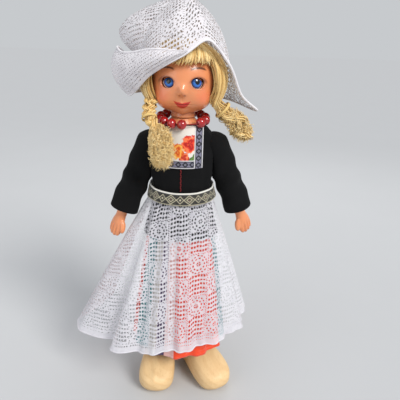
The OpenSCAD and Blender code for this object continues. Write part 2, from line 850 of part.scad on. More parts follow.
// Paths of the two bunches from the side of the wig, in the doll's own frame
bunch_sides = 10;
bunch_right_path = [
    [-14, -7, head_c - 8],
    [-15.2, -9, head_c - 12.5],
    [-14.8, -12, head_c - 17],
    [-11.6, -15.5, head_c - 21.5],
    [-9.4, -18.4, head_c - 26.5],
    [-8.6, -19.4, head_c - 31.5],
    [-8.2, -19.4, head_c - 35.5],
    [-8, -19.4, head_c - 38]
];
bunch_left_path = [
    [14, -2, head_c - 7],
    [17.6, -2, head_c - 12],
    [22, -1.5, head_c - 16],
    [26, -1, head_c - 19.5],
    [28.6, -0.5, head_c - 22.6],
    [29, 0, head_c - 25],
    [28.6, 0, head_c - 26.8]
];
bunch_right_thick = [0.6, 0.58, 0.56, 0.68, 0.98, 1, 0.8, 0.3];
bunch_left_thick = [0.6, 0.66, 0.84, 1, 0.96, 0.76, 0.3];
bunch_gap = hair_gap / 3;

module bunch(path, thick) {
    color(blond) at_axis() difference() {
        loft(path_rings(path, thick * bunch_d / 2, bunch_sides));
        wig_egg(bunch_gap);
    }
}

module hair_bunch_right() bunch(bunch_right_path, bunch_right_thick);

module hair_bunch_left() bunch(bunch_left_path, bunch_left_thick);

// Ring of thread round a bunch at one point of its path
module tie_ring(path, thick, i) {
    w = path_dir(path, i);
    tilt = acos(w[2]);
    turn = atan2(w[1], w[0]);
    color(blond) at_axis() translate(path[i]) rotate([0, tilt, turn]) rotate_extrude()
        translate([thick[i] * bunch_d / 2 + tie_d / 2 + bunch_gap, 0]) circle(d = tie_d);
}

module hair_tie_right() tie_ring(bunch_right_path, bunch_right_thick, 2);

module hair_tie_left() tie_ring(bunch_left_path, bunch_left_thick, 2);

// Lace cap

cap_a = hair_a + cap_gap + cap_t;
cap_b = hair_b + cap_gap + cap_t;
cap_cols = 44;
cap_flare_h = 18;
corner_turn = -112;
corner_half = 42;
corner_z = head_c + 9;
corner_power = [1.3, 0.8];
// Rows round the cap's edge: angle from the front towards +X, flare, height over the head's middle
cap_edge_rows = [
    [-180, 0.4, -7],
    [-130, 4, -7.5],
    [-95, 5.5, -7.5],
    [-70, 3, -6.5],
    [-40, 0.6, 2.5],
    [0, 0.4, 11],
    [36, 0.6, 17.6],
    [60, 2.6, 8],
    [82, 6, -6],
    [104, wing_flare, -14.5],
    [130, 9, -11],
    [180, 0.4, -7]
];
crown_power = 0.62;
peak_share = 0.03;

// Half width of the crown at height z on the share of its rise
function crown_share(z, top) = (1 - share(head_c, top, z) ^ 2) ^ crown_power;
function wrapped(a) = a > 180 ? a - 360 : a;
// Point of the cap at angle a and share t from its edge to its peak, set in by off
function cap_point(a, t, off) =
    let (
        edge = level(cap_edge_rows, a),
        top = head_c + cap_h - off,
        z = mix(head_c + edge[2], top, t),
        k = max(peak_share, crown_share(z, top)),
        flare = edge[1] * (1 - share(0, cap_flare_h, z - head_c - edge[2])) ^ 2,
        d = min(1, abs(a - corner_turn) / corner_half),
        rise = sin(180 * share(corner_z, top, z)),
        corner = cap_corner * (1 - d) ^ corner_power[0] * rise ^ corner_power[1],
        ra = (cap_a - off) * k + flare + corner,
        rb = (cap_b - off) * k + flare + corner
    )
    [ra * sin(a), -rb * cos(a), z];
cap_stops = [0, 0.06, 0.16, 0.3, 0.45, 0.6, 0.76, 0.9, 1];
function cap_rings(off) = [
    for (t = cap_stops) [for (i = [0 : cap_cols - 1]) cap_point(wrapped(360 * i / cap_cols), t, off)]
];

module cap_crown() color(lace) at_axis() cup_wall(cap_rings(0), cap_rings(cap_t));

cuff_cols = 26;
cuff_stops = steps(0, 1, 5);
// Share of the full cuff along the edge
cuff_first = -136;
cuff_last = 6;
cuff_lean = 4;
cuff_rows = [[cuff_first, 0.34], [-95, 1], [-40, 0.5], [cuff_last, 0.04]];
// Point of the cuff at angle a and share t from the cap's edge to its own free edge
function cuff_point(a, t, off) =
    let (
        edge = cap_point(a, 0, 0),
        w = level(cuff_rows, a)[1],
        start = norm([edge[0], edge[1]]) + cap_gap,
        r = start + w * (2 * t * (1 - t) * cuff_bulge + t ^ 2 * cuff_lean) + off,
        z = edge[2] + w * cuff_h * t
    )
    [r * sin(a), -r * cos(a), z];
function cuff_grid(off) = [
    for (t = cuff_stops) [for (a = steps(cuff_first, cuff_last, cuff_cols)) cuff_point(a, t, off)]
];

module cap_cuff() color(lace) at_axis() sheet(cuff_grid(cap_t), cuff_grid(0));

// Jacket

collar_z = neck_z - collar_drop;
peplum_z = waist_z - peplum_drop;
jacket_sides = 32;
jacket_waist = [waist_w, waist_d] / 2 + [1, 1] * (jacket_off + cloth_t);
peplum_ease = 1.2;
// Half width and half depth of the jacket's outside at height z
function jacket_size(z) =
    let (r = level(trunk_rows, z), w = share(waist_z, peplum_z, z) ^ peplum_ease)
        z >= waist_z ? [r[1], r[2]] + [1, 1] * (jacket_off + cloth_t)
        : mix(jacket_waist, [peplum_w, peplum_d] / 2, w);
function jacket_ring(z, off) =
    let (s = jacket_size(z)) oval([0, 0, z], s[0] + off, s[1] + off, jacket_sides);
jacket_stops = concat(steps(peplum_z, waist_z, 3), steps(waist_z + 5, collar_z, 7));
function jacket_rings(off) = [for (z = jacket_stops) jacket_ring(z, off)];

bib_z = shoulder_z - bib_drop;

// Block in front of the chest, as wide as the bib less a margin
module bib_block(margin) {
    translate([-bib_w / 2 + margin, -far, bib_z + margin]) cube([bib_w - 2 * margin, far, far]);
}

module jacket_bodice() {
    color(black_cloth) at_axis() difference() {
        tube_wall(jacket_rings(0), jacket_rings(-cloth_t));
        bib_block(0);
        rod_x(-far, far, arm_ball_d + 2 * joint_gap, 0, shoulder_z);
    }
}

ribbon_t = 0.3;

// Layer of the jacket's front, thickened outwards by extra
module front_layer(extra) tube_wall(jacket_rings(extra), jacket_rings(-cloth_t));

module bib_panel() {
    color(lace) at_axis() intersection() {
        front_layer(0);
        bib_block(bib_ribbon);
    }
}

module bib_border() {
    color([0.08, 0.09, 0.2]) at_axis() difference() {
        intersection() {
            front_layer(ribbon_t);
            bib_block(0);
        }
        bib_block(bib_ribbon);
    }
}

stitch_t = 0.4;
placket_z = waist_z + belt_h;

module jacket_placket() {
    color([0.5, 0.04, 0.05]) at_axis() intersection() {
        tube_wall(jacket_rings(stitch_t), jacket_rings(0));
        translate([-placket_w / 2, -far, placket_z]) cube([placket_w, far, bib_z - placket_z]);
    }
}

// Belt, skirt and apron

belt_sides = 40;
belt_below = 0.3;
// Height of the belt at share t of its height, dropped towards the front
function belt_z(t, front) = waist_z + belt_h * (t - belt_below) - belt_sag * front / 2;
// Ring of the belt at share t of its height
function belt_ring(t, off) =
    let (
        spread = belt_off + belt_flare * (1 - t) + off,
        a = waist_w / 2 + spread,
        b = waist_d / 2 + spread
    )
    [for (p = oval([0, 0, 0], a, b, belt_sides)) p + [0, 0, belt_z(t, -p[1] / b)]];

module belt() {
    color([0.12, 0.12, 0.14]) at_axis() tube_wall(
        [for (t = [0, 0.5, 1]) belt_ring(t, cloth_t)],
        [for (t = [0, 0.5, 1]) belt_ring(t, 0)]
    );
}

skirt_sides = 60;
skirt_top_z = waist_z + 3;
skirt_in = [3.6, 4.4];
skirt_ease = [2.85, 1.8];
skirt_wall = skirt_off + cloth_t;
// Rows up the skirt: height, half width, half depth
skirt_rows = [
    [skirt_hem_z, skirt_w / 2, skirt_d / 2],
    [mix(skirt_hem_z, hip_z, 0.5), skirt_w / 2 - skirt_in[0], skirt_d / 2 - skirt_in[1]],
    [hip_z + 3, hip_w / 2 + skirt_wall + skirt_ease[0], hip_d / 2 + skirt_wall + skirt_ease[1]],
    [waist_z - 2, waist_w / 2 + skirt_wall, waist_d / 2 + skirt_wall],
    [skirt_top_z, waist_w / 2 + skirt_wall, waist_d / 2 + skirt_wall]
];
function skirt_ring(z, off) =
    let (r = level(skirt_rows, z), k = share(hip_z + 3, skirt_hem_z, z))
        [for (i = [0 : skirt_sides - 1])
            let (t = 360 * i / skirt_sides, f = off + skirt_fold * k * cos(skirt_folds * t))
                [(r[1] + f) * sin(t), -(r[2] + f) * cos(t), z]];
skirt_stops = concat(steps(skirt_hem_z, hip_z, 5), steps(hip_z + 8, skirt_top_z, 2));

module skirt() {
    color([0.78, 0.25, 0.14]) at_axis() tube_wall(
        [for (z = skirt_stops) skirt_ring(z, 0)],
        [for (z = skirt_stops) skirt_ring(z, -cloth_t)]
    );
}

apron_cols = 60;
apron_first = -118;
apron_last = 104;
apron_top_z = waist_z - 1;
apron_ease = 0.92;
// Rows along the apron's hem: angle from the front towards +X, distance from the middle
apron_hem_rows = [
    [apron_first, apron_right - 8],
    [-84, apron_right],
    [-55, mix(apron_front, apron_right, 0.48)],
    [-28, apron_front + 3],
    [0, apron_front],
    [35, apron_front + 1.5],
    [75, apron_left - 3],
    [apron_last, apron_left]
];
// Point of the apron at angle a and share t from its hem to its top
function apron_point(a, t, off) =
    let (
        top = [waist_w / 2 + apron_off, waist_d / 2 + apron_off],
        top_r = top[0] * top[1] / sqrt((top[1] * sin(a)) ^ 2 + (top[0] * cos(a)) ^ 2),
        hem_r = level(apron_hem_rows, a)[1],
        v = 1 - t,
        wave = 0.5 + 0.5 * cos(360 * apron_folds * (a - apron_first) / (apron_last - apron_first)),
        r = mix(top_r, hem_r, v ^ apron_ease) + apron_fold * v * wave + off
    )
    [r * sin(a), -r * cos(a), mix(apron_hem_z, apron_top_z, t)];
apron_stops = concat(steps(0, 0.75, 5), [0.86, 0.94, 1]);
function apron_grid(off) = [
    for (t = apron_stops) [for (a = steps(apron_first, apron_last, apron_cols)) apron_point(a, t, off)]
];

module apron() color(lace) at_axis() sheet(apron_grid(cloth_t), apron_grid(0));

// Placing: the origin lies on the floor under the middle of the outline, beside the body's own axis

outline = [for (r = apron_grid(cloth_t)) each r];
axis_x = -(min([for (p = outline) p[0]]) + max([for (p = outline) p[0]])) / 2;
axis_y = -(min([for (p = outline) p[1]]) + skirt_d / 2 + skirt_fold) / 2;

module at_axis() translate([axis_x, axis_y, 0]) children();

// Necklace

necklace_rise = 2.1;
necklace_z = collar_z + necklace_rise;
necklace_y = -1.2;
necklace_tilt = 7;
bead_bore_d = 2.2 * thread_d;
// Place left bare, where the thread shows
bare_place = round(0.8 * bead_count);

module on_necklace() translate([0, necklace_y, necklace_z]) rotate([necklace_tilt, 0, 0]) children();

module bead() {
    difference() {
        scale([1, 1, bead_l / bead_d]) sphere(d = bead_d);
        cylinder(h = 2 * bead_l, d = bead_bore_d, center = true);
    }
}

module necklace_beads() {
    color([0.48, 0.05, 0.05]) at_axis() on_necklace() for (i = [0 : bead_count - 1])
        if (i != bare_place) rotate(360 * (i + 0.5) / bead_count)
            translate([necklace_d / 2, 0, 0]) rotate([90, 0, 0]) bead();
}

module necklace_thread() {
    color([0.3, 0.05, 0.05]) at_axis() on_necklace() rotate_extrude()
        translate([necklace_d / 2, 0]) circle(d = thread_d);
}

torso_front();
torso_back();
head_front();
head_back();
neck_hook();
shoulder_elastic();
hip_elastic();
arm_right();
arm_left();
leg_right();
leg_left();
clog_right();
clog_left();
eye_right();
eye_left();
eye_axle();
eye_weight();
eye_bracket();
wig_cap();
hair_bunch_right();
hair_bunch_left();
hair_tie_right();
hair_tie_left();
cap_crown();
cap_cuff();
jacket_bodice();
sleeve_right();
sleeve_left();
bib_panel();
bib_border();
jacket_placket();
belt();
skirt();
apron();
necklace_beads();
necklace_thread();
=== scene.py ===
import json
import math
from functools import partialmethod

import bpy
import numpy as np
from mathutils import Matrix, Vector


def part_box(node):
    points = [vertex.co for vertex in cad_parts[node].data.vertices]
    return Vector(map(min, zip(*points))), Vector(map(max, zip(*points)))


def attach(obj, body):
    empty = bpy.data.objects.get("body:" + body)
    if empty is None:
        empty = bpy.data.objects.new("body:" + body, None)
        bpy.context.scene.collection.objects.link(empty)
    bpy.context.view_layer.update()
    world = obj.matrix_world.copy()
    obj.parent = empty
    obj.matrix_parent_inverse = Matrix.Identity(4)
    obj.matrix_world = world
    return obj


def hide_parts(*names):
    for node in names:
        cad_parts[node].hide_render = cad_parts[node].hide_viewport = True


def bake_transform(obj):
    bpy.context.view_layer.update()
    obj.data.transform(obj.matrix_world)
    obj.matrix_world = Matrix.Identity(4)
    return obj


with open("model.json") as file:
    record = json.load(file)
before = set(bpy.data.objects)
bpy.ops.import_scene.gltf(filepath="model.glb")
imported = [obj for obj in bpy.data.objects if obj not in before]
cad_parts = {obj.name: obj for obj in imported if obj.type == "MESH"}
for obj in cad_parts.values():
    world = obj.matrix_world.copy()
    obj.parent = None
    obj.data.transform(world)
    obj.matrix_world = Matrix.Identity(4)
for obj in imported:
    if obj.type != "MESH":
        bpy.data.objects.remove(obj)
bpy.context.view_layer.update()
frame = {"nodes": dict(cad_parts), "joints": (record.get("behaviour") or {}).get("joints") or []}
rng = np.random.default_rng(11)

# Places from the frame, in millimetres about the body's own axis
JOINTS = {j["name"]: np.array(j["pos_m"]) * 1000 for j in frame["joints"]}
AXIS = JOINTS["neck_turn"] * [1, 1, 0]
NECK_Z = JOINTS["neck_turn"][2]
SHOULDER_Z = JOINTS["shoulder_left"][2]
HIP_Z = JOINTS["hip_left"][2]
LEG_X = JOINTS["hip_left"][0] - AXIS[0]
ARM_X = JOINTS["shoulder_left"][0] - AXIS[0]
EYE_Y, EYE_Z = (JOINTS["eye_rock"] - AXIS)[1:]
EYE_DROP = 0.6
HEAD_C = EYE_Z + EYE_DROP


def low(node):
    return np.array(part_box(node)[0]) * 1000 - AXIS


def high(node):
    return np.array(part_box(node)[1]) * 1000 - AXIS


def to_row(points):
    """Points in millimetres about the body's axis, as metres in the row frame."""
    return (np.asarray(points, float) + AXIS) / 1000


# Sizes of the doll in millimetres, as in the part's source
WAIST_Z = SHOULDER_Z - 26
PEPLUM_Z = low("jacket_bodice")[2]
COLLAR_Z = high("jacket_bodice")[2]
WAIST = np.array([12, 9])
BIB_Z = low("bib_border")[2]
SKIRT_HEM_Z, SKIRT_TOP_Z = low("skirt")[2], high("skirt")[2]
APRON_HEM_Z, APRON_TOP_Z = low("apron")[2], high("apron")[2]
HEAD_A, HEAD_B, HEAD_H = 15.0, 14.5, 16.0
HAIR_A, HAIR_B, HAIR_H = 20.5, 18.5, 18.0
CLOTH_T, CLOTH_GAP = 0.7, 0.35
JACKET_OFF = 2 * CLOTH_GAP + CLOTH_T
APRON_OFF = JACKET_OFF + CLOTH_T + CLOTH_GAP
BELT_OFF = APRON_OFF + CLOTH_T + CLOTH_GAP
ARM_L, ARM_BALL_D, ARM_TILT, ARM_BACK = 56.0, 10.0, 21.5, 10.0
SLEEVE_D, SLEEVE_END_D, SLEEVE_L = 13.6, 14.6, 39.0
ARMHOLE_X = 15.45
BIB_W, BIB_RIBBON = 20.4, 4.0
BELT_H, BELT_SAG, BELT_FLARE, BELT_BELOW = 6.0, 3.0, 1.4, 0.3


# Shape helpers

def mix(a, b, t):
    return a + (b - a) * t


def share(a, b, x):
    return np.clip((x - a) / (b - a), 0, 1)


def hump(x, middle, span):
    return np.exp(-(((x - middle) / span) ** 2))


def unit(vectors):
    return vectors / np.linalg.norm(vectors, axis=-1, keepdims=True)


def circle(count):
    """Angles in degrees round a closed ring."""
    return np.linspace(0, 360, count, endpoint=False)


def grid(rows, cols):
    return np.meshgrid(rows, cols, indexing="ij")


def level(rows, x):
    """Smooth curve through rows [x, values...], read at x."""
    rows, x = np.asarray(rows, float), np.asarray(x, float)
    order = np.arange(len(rows))
    before, after = np.maximum(order - 1, 0), np.minimum(order + 1, len(rows) - 1)
    slope = (rows[after] - rows[before]) / (rows[after, :1] - rows[before, :1])
    i = np.clip(np.searchsorted(rows[:, 0], x, side="right") - 1, 0, len(rows) - 2)
    p, q = rows[i], rows[i + 1]
    span = q[..., :1] - p[..., :1]
    t = np.clip((x[..., None] - p[..., :1]) / span, 0, 1)
    start = (2 * t**3 - 3 * t**2 + 1) * p + (t**3 - 2 * t**2 + t) * span * slope[i]
    end = (3 * t**2 - 2 * t**3) * q + (t**3 - t**2) * span * slope[i + 1]
    return (start + end)[..., 1:]


def ring_point(angle, a, b, z):
    """Point of an oval, its angle counted in degrees from the front towards +X."""
    t = np.radians(angle)
    return np.stack(np.broadcast_arrays(a * np.sin(t), -b * np.cos(t), z), -1)


def oval(angle, size, z, off=0.0):
    """Point of an oval with half sizes [width, depth], widened by off."""
    return ring_point(angle, size[..., 0] + off, size[..., 1] + off, z)


def around(angle, u, v):
    """Direction at an angle in radians from u towards v."""
    return np.cos(angle) * u + np.sin(angle) * v


def ball(rows, cols, top):
    """Rings of a ball of radius 1, up to a latitude in degrees."""
    lat, lon = grid(np.linspace(-top, top, rows), circle(cols))
    flat = np.cos(np.radians(lat))
    return ring_point(lon, flat, flat, np.sin(np.radians(lat)))


def front_angle(angle):
    """The same angle, from -180 to 180."""
    return (angle + 180) % 360 - 180


def turn(axis, degrees):
    """Matrix that turns points about X, Y or Z, which are axes 0, 1 and 2."""
    c, s = math.cos(math.radians(degrees)), math.sin(math.radians(degrees))
    i, j = (axis + 1) % 3, (axis + 2) % 3
    matrix = np.eye(3)
    matrix[i, i] = matrix[j, j] = c
    matrix[j, i], matrix[i, j] = s, -s
    return matrix


def grid_faces(rows, cols, closed=False, keep=None):
    i = np.arange(cols if closed else cols - 1)
    jj, ii = grid(np.arange(rows - 1), i)
    a, b = jj * cols + ii, jj * cols + (ii + 1) % cols
    quads = np.stack([a, b, b + cols, a + cols], -1)
    return quads[keep] if keep is not None else quads.reshape(-1, 4)


def steps(points, axis):
    """Distances between neighbours along one axis of a grid."""
    return np.linalg.norm(np.diff(points, axis=axis), axis=2)


def grid_area(points):
    a, b = points[1:, 1:] - points[:-1, :-1], points[1:, :-1] - points[:-1, 1:]
    return np.linalg.norm(np.cross(a, b), axis=2).sum() / 2


def declare_cloth(piece, points, held, *rests_on, area=None):
    """Works out the cloth's flat area when it is not given, and does nothing more with it."""
    area = grid_area(points) / 1e6 if area is None else area


def round_again(points):
    """The grid of a closed sheet with its first column repeated at the end."""
    return np.concatenate([points, points[:, :1]], axis=1)


# Mesh helpers

STRAND_ROOT, STRAND_TIP, STRAND_THIN = 0.08, 0.22, 0.12


def add_object(name, data):
    made = bpy.data.objects.new(name, data)
    bpy.context.scene.collection.objects.link(made)
    return made


def smooth(mesh):
    mesh.polygons.foreach_set("use_smooth", np.ones(len(mesh.polygons), bool))


def new_object(name, points, faces, attributes=None):
    """Object with a smooth mesh; points that no face uses are left out."""
    faces = [np.asarray(f) for f in faces]
    used = np.unique(np.concatenate([f.ravel() for f in faces]))
    place = np.full(len(points), -1)
    place[used] = np.arange(len(used))
    mesh = bpy.data.meshes.new(name)
    mesh.from_pydata(to_row(points)[used].tolist(), [], [q for f in faces for q in place[f].tolist()])
    for key, values in (attributes or {}).items():
        layer = mesh.attributes.new(key, "FLOAT", "POINT")
        layer.data.foreach_set("value", np.asarray(values, np.float32).ravel()[used])
    smooth(mesh)
    mesh.validate()
    return add_object(name, mesh)


def sheet_object(name, points, closed=False, keep=None, attributes=None):
    rows, cols = points.shape[:2]
    return new_object(name, points.reshape(-1, 3), [grid_faces(rows, cols, closed, keep)], attributes)


def closed_object(name, rings):
    """Closed solid through rings that run upwards."""
    rows, cols = rings.shape[:2]
    lids = [np.arange(cols)[::-1][None], (np.arange(cols) + (rows - 1) * cols)[None]]
    return new_object(name, rings.reshape(-1, 3), [grid_faces(rows, cols, True), *lids])


def final_mesh(piece):
    """Bakes the piece's modifiers into its mesh."""
    graph = bpy.context.evaluated_depsgraph_get()
    graph.update()
    mesh = bpy.data.meshes.new_from_object(piece.evaluated_get(graph))
    piece.modifiers.clear()
    piece.data = mesh


def modify(piece, kind, **settings):
    modifier = piece.modifiers.new(kind.lower(), kind)
    for key, value in settings.items():
        setattr(modifier, key, value)
    return piece


def thicken(piece, millimetres):
    return modify(piece, "SOLIDIFY", thickness=millimetres / 1000, offset=-1)


def combine(piece, others, operation):
    """Cuts other pieces out of this one, or joins them to it, and removes them."""
    for other in others:
        modify(piece, "BOOLEAN", operation=operation, solver="EXACT", object=other)
    final_mesh(piece)
    for other in others:
        bpy.data.objects.remove(other)


def move_mesh(piece, place, side):
    """Moves a mesh by a function of its points in millimetres, which mirrors it where the side is -1."""
    points = np.array([v.co for v in piece.data.vertices]) * 1000 - AXIS
    piece.data.vertices.foreach_set("co", to_row(place(points)).astype(np.float32).ravel())
    if side < 0:
        piece.data.flip_normals()


def finish_piece(piece, material, body, slot, *nodes):
    piece.data.materials.clear()
    piece.data.materials.append(material)
    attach(piece, body)
    if nodes:
        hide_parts(*nodes)


def tubes(name, paths, radius, sides=4, wide=1.0, centre=(0, 0, HEAD_C), attributes=None):
    """Tapered strands along paths [strand, point, xyz], flattened against what lies under them."""
    count, length = paths.shape[:2]
    along = unit(np.gradient(paths, axis=1))
    across = unit(np.cross(along, paths - np.array(centre)))
    out = np.cross(across, along)
    t = np.linspace(0, 1, length)
    taper = np.clip(np.minimum(t / STRAND_ROOT, (1 - t) / STRAND_TIP), STRAND_THIN, 1)
    size = (np.asarray(radius).reshape(-1, 1) * taper)[..., None, None]
    angle = (2 * np.pi * np.arange(sides) / sides)[:, None]
    ring = around(angle, wide * across[:, :, None], out[:, :, None])
    points = (paths[:, :, None] + size * ring).reshape(-1, 3)
    one = grid_faces(length, sides, True)
    lids = np.stack([np.arange(sides)[::-1], np.arange(sides) + (length - 1) * sides])
    start = np.arange(count)[:, None, None] * length * sides
    faces = [(one + start).reshape(-1, 4), (lids + start).reshape(-1, sides)]
    spread = {k: np.repeat(v, length * sides) for k, v in (attributes or {}).items()}
    return new_object(name, points, faces, spread)


# Material helpers

NOISE_ROUGH = 0.55


def srgb(r, g, b):
    """A colour written as it shows on a screen, 0 to 255."""
    parts = [c / 255 for c in (r, g, b)]
    return (*[c / 12.92 if c <= 0.04045 else ((c + 0.055) / 1.055) ** 2.4 for c in parts], 1)


def feed(tree, socket, value):
    """Sets an input to a constant, or links it to a field or an output."""
    value = value.socket if isinstance(value, Field) else value
    if isinstance(value, bpy.types.NodeSocket):
        tree.links.new(value, socket)
    else:
        socket.default_value = value


def add_node(tree, kind, inputs=None, **settings):
    node = tree.nodes.new("ShaderNode" + kind)
    for key, value in settings.items():
        setattr(node, key, value)
    for key, value in (inputs or {}).items():
        feed(tree, node.inputs[key], value)
    return node


class Field:
    """A number that varies over a surface."""

    def __init__(self, tree, socket):
        self.tree, self.socket = tree, socket

    def math(self, operation, *others):
        node = add_node(self.tree, "Math", dict(enumerate((self, *others))), operation=operation)
        return Field(self.tree, node.outputs[0])

    __add__ = partialmethod(math, "ADD")
    __sub__ = partialmethod(math, "SUBTRACT")
    __mul__ = partialmethod(math, "MULTIPLY")
    __truediv__ = partialmethod(math, "DIVIDE")
    abs = partialmethod(math, "ABSOLUTE")
    sin = partialmethod(math, "SINE")
    root = partialmethod(math, "SQRT")
    angle = partialmethod(math, "ARCTAN2")
    most = partialmethod(math, "MAXIMUM")
    wrap = partialmethod(math, "FLOORED_MODULO")

    def length(self, *others):
        """Length of the vector that this field and the others make."""
        total = self * self
        for other in others:
            total = total + other * other
        return total.root()

    def rise(self, a, b):
        """0 where the field is a, 1 where it is b, and smooth between; a may be above b."""
        ends = (a, b, 0, 1) if a < b else (b, a, 1, 0)
        inputs = dict(zip(("Value", "From Min", "From Max", "To Min", "To Max"), (self, *ends)))
        node = add_node(self.tree, "MapRange", inputs, interpolation_type="SMOOTHSTEP")
        return Field(self.tree, node.outputs["Result"])


class Paint:
    """A node material. Colours are laid on one over another, each by a field."""

    def __init__(self, name, colour, **sockets):
        self.material = bpy.data.materials.new(name)
        self.material.use_nodes = True
        self.tree = self.material.node_tree
        self.shader = self.tree.nodes["Principled BSDF"]
        self.colour = srgb(*colour)
        for key, value in sockets.items():
            self.shader.inputs[key.replace("_", " ")].default_value = value
        places = self.node("TexCoord").outputs["Object"]
        scale = {0: places, 1: (1000, 1000, 1000), 2: tuple(-AXIS)}
        self.place = self.node("VectorMath", scale, operation="MULTIPLY_ADD").outputs[0]
        split = self.node("SeparateXYZ", {0: self.place})
        self.x, self.y, self.z = [Field(self.tree, s) for s in split.outputs]

    def node(self, kind, inputs=None, **settings):
        return add_node(self.tree, kind, inputs, **settings)

    def attribute(self, name):
        return Field(self.tree, self.node("Attribute", attribute_name=name).outputs["Fac"])

    def noise(self, size, detail=3.0, stretch=None):
        """Noise from 0 to 1, with lumps about size millimetres across."""
        vector = self.place
        if stretch:
            vector = self.node("VectorMath", {0: vector, 1: stretch}, operation="MULTIPLY").outputs[0]
        inputs = {"Vector": vector, "Scale": 1 / size, "Detail": detail, "Roughness": NOISE_ROUGH}
        return Field(self.tree, self.node("TexNoise", inputs).outputs["Fac"])

    def distance(self, point):
        return (self.x - point[0]).length(self.y - point[1], self.z - point[2])

    def lay(self, field, colour):
        """Lays a colour over what is there, as far as the field says."""
        node = self.node("Mix", {0: field, 6: self.colour, 7: srgb(*colour)}, data_type="RGBA")
        self.colour = node.outputs[2]

    def bump(self, field, millimetres):
        node = self.node("Bump", {"Distance": millimetres / 1000, "Height": field})
        self.tree.links.new(node.outputs[0], self.shader.inputs["Normal"])
        return self

    def done(self):
        feed(self.tree, self.shader.inputs["Base Color"], self.colour)
        return self.material


# Camera, light and floor

CAMERA_AT = np.array([9.6, -209.5, 179.8])
CAMERA_LENS, CAMERA_SENSOR = 38.7, 36.0
CAMERA_PITCH, CAMERA_ROLL = 19.9, -2.0


def make_camera():
    data = bpy.data.cameras.new("camera")
    data.lens, data.sensor_width = CAMERA_LENS, CAMERA_SENSOR
    data.clip_start, data.clip_end = 0.01, 20
    camera = bpy.context.scene.camera = add_object("camera", data)
    tilt = Matrix.Rotation(math.radians(90 - CAMERA_PITCH), 4, "X")
    roll = Matrix.Rotation(math.radians(-CAMERA_ROLL), 4, "Z")
    camera.matrix_world = Matrix.Translation(to_row(CAMERA_AT)) @ tilt @ roll


def make_lamp(name, kind, at, aim, size, power, colour=(1, 1, 1)):
    """A lamp; size is the angle of a sun in radians, or the width of a round soft box in metres."""
    data = bpy.data.lights.new(name, kind)
    data.energy, data.color = power, colour
    if kind == "SUN":
        data.angle = size
    else:
        data.shape, data.size = "DISK", size
    lamp = add_object(name, data)
    lamp.location = to_row(at)
    lamp.rotation_mode = "QUATERNION"
    lamp.rotation_quaternion = (Vector(to_row(aim)) - lamp.location).to_track_quat("-Z", "Y")


FLOOR_HALF = 9000.0
WALL, SKY, SKY_POWER = srgb(199, 202, 205), srgb(228, 232, 238), 0.78
KEY_ANGLE = math.radians(25)


def make_floor():
    corners = [[[x, y, 0] for x in (-FLOOR_HALF, FLOOR_HALF)] for y in (-FLOOR_HALF, FLOOR_HALF)]
    floor = sheet_object("floor", np.array(corners))
    paint = Paint("floor_paint", (186, 187, 188), Roughness=0.9, Specular_IOR_Level=0.0)
    paint.lay(paint.noise(60.0) * 0.5, (191, 192, 193))
    floor.data.materials.append(paint.done())


def make_light():
    """Sky light, a plain wall where the sky itself is seen, and three lamps."""
    world = bpy.data.worlds.new("studio")
    world.use_nodes = True
    tree = world.node_tree
    sky = tree.nodes["Background"]
    sky.inputs["Color"].default_value = SKY
    sky.inputs["Strength"].default_value = SKY_POWER
    wall = add_node(tree, "Background", {"Color": WALL})
    rays = add_node(tree, "LightPath").outputs
    shown = Field(tree, rays["Is Camera Ray"])
    for ray in ("Is Glossy Ray", "Is Transmission Ray"):
        shown = shown.most(Field(tree, rays[ray]))
    choose = add_node(tree, "MixShader", {0: shown, 1: sky.outputs[0], 2: wall.outputs[0]})
    tree.links.new(choose.outputs[0], tree.nodes["World Output"].inputs["Surface"])
    bpy.context.scene.world = world
    make_lamp("key", "SUN", (330, -330, 470), (0, -5, 110), KEY_ANGLE, 2.7, (1, 0.985, 0.96))
    make_lamp("fill", "AREA", (-420, -360, 260), (0, 0, 100), 0.5, 0.7)
    make_lamp("rim", "AREA", (120, 380, 420), (0, 0, 120), 0.4, 0.5)


make_camera()
make_light()
make_floor()
bpy.context.scene.view_settings.view_transform = "Standard"


# Materials

def skin_paint(name):
    paint = Paint(name, (226, 146, 98), Roughness=0.3, Coat_Weight=0.35, Coat_Roughness=0.12,
                  Subsurface_Weight=0.08, Subsurface_Radius=(0.004, 0.0016, 0.0008), Subsurface_Scale=0.5)
    paint.lay(paint.noise(9.0) * 0.35, (208, 122, 74))
    paint.lay(paint.noise(1.2, detail=4).rise(0.62, 0.74) * 0.12, (186, 104, 66))
    return paint


def plain_skin():
    paint = skin_paint("doll_skin")
    return paint.bump(paint.noise(0.8), 0.02).done()


# Places of the face as [distance from the middle, height]
LIP_Z = HEAD_C - 10.3
BROW_AT, BROW_R, BROW_W = (7.0, HEAD_C - 1.5), 7.4, 0.62
CHEEK_AT, CHEEK_R = (10.0, HEAD_C - 6.8), 6.4
NOSTRIL_AT = (1.15, HEAD_C - 6.0)
EYE_OPEN = (3.4, 2.5)
EYE_SX = 7.1
EYE_SY = -HEAD_B * math.sqrt(1 - (EYE_SX / HEAD_A) ** 2)
EYE_YAW = math.degrees(math.atan2(EYE_SX / HEAD_A**2, -EYE_SY / HEAD_B**2))


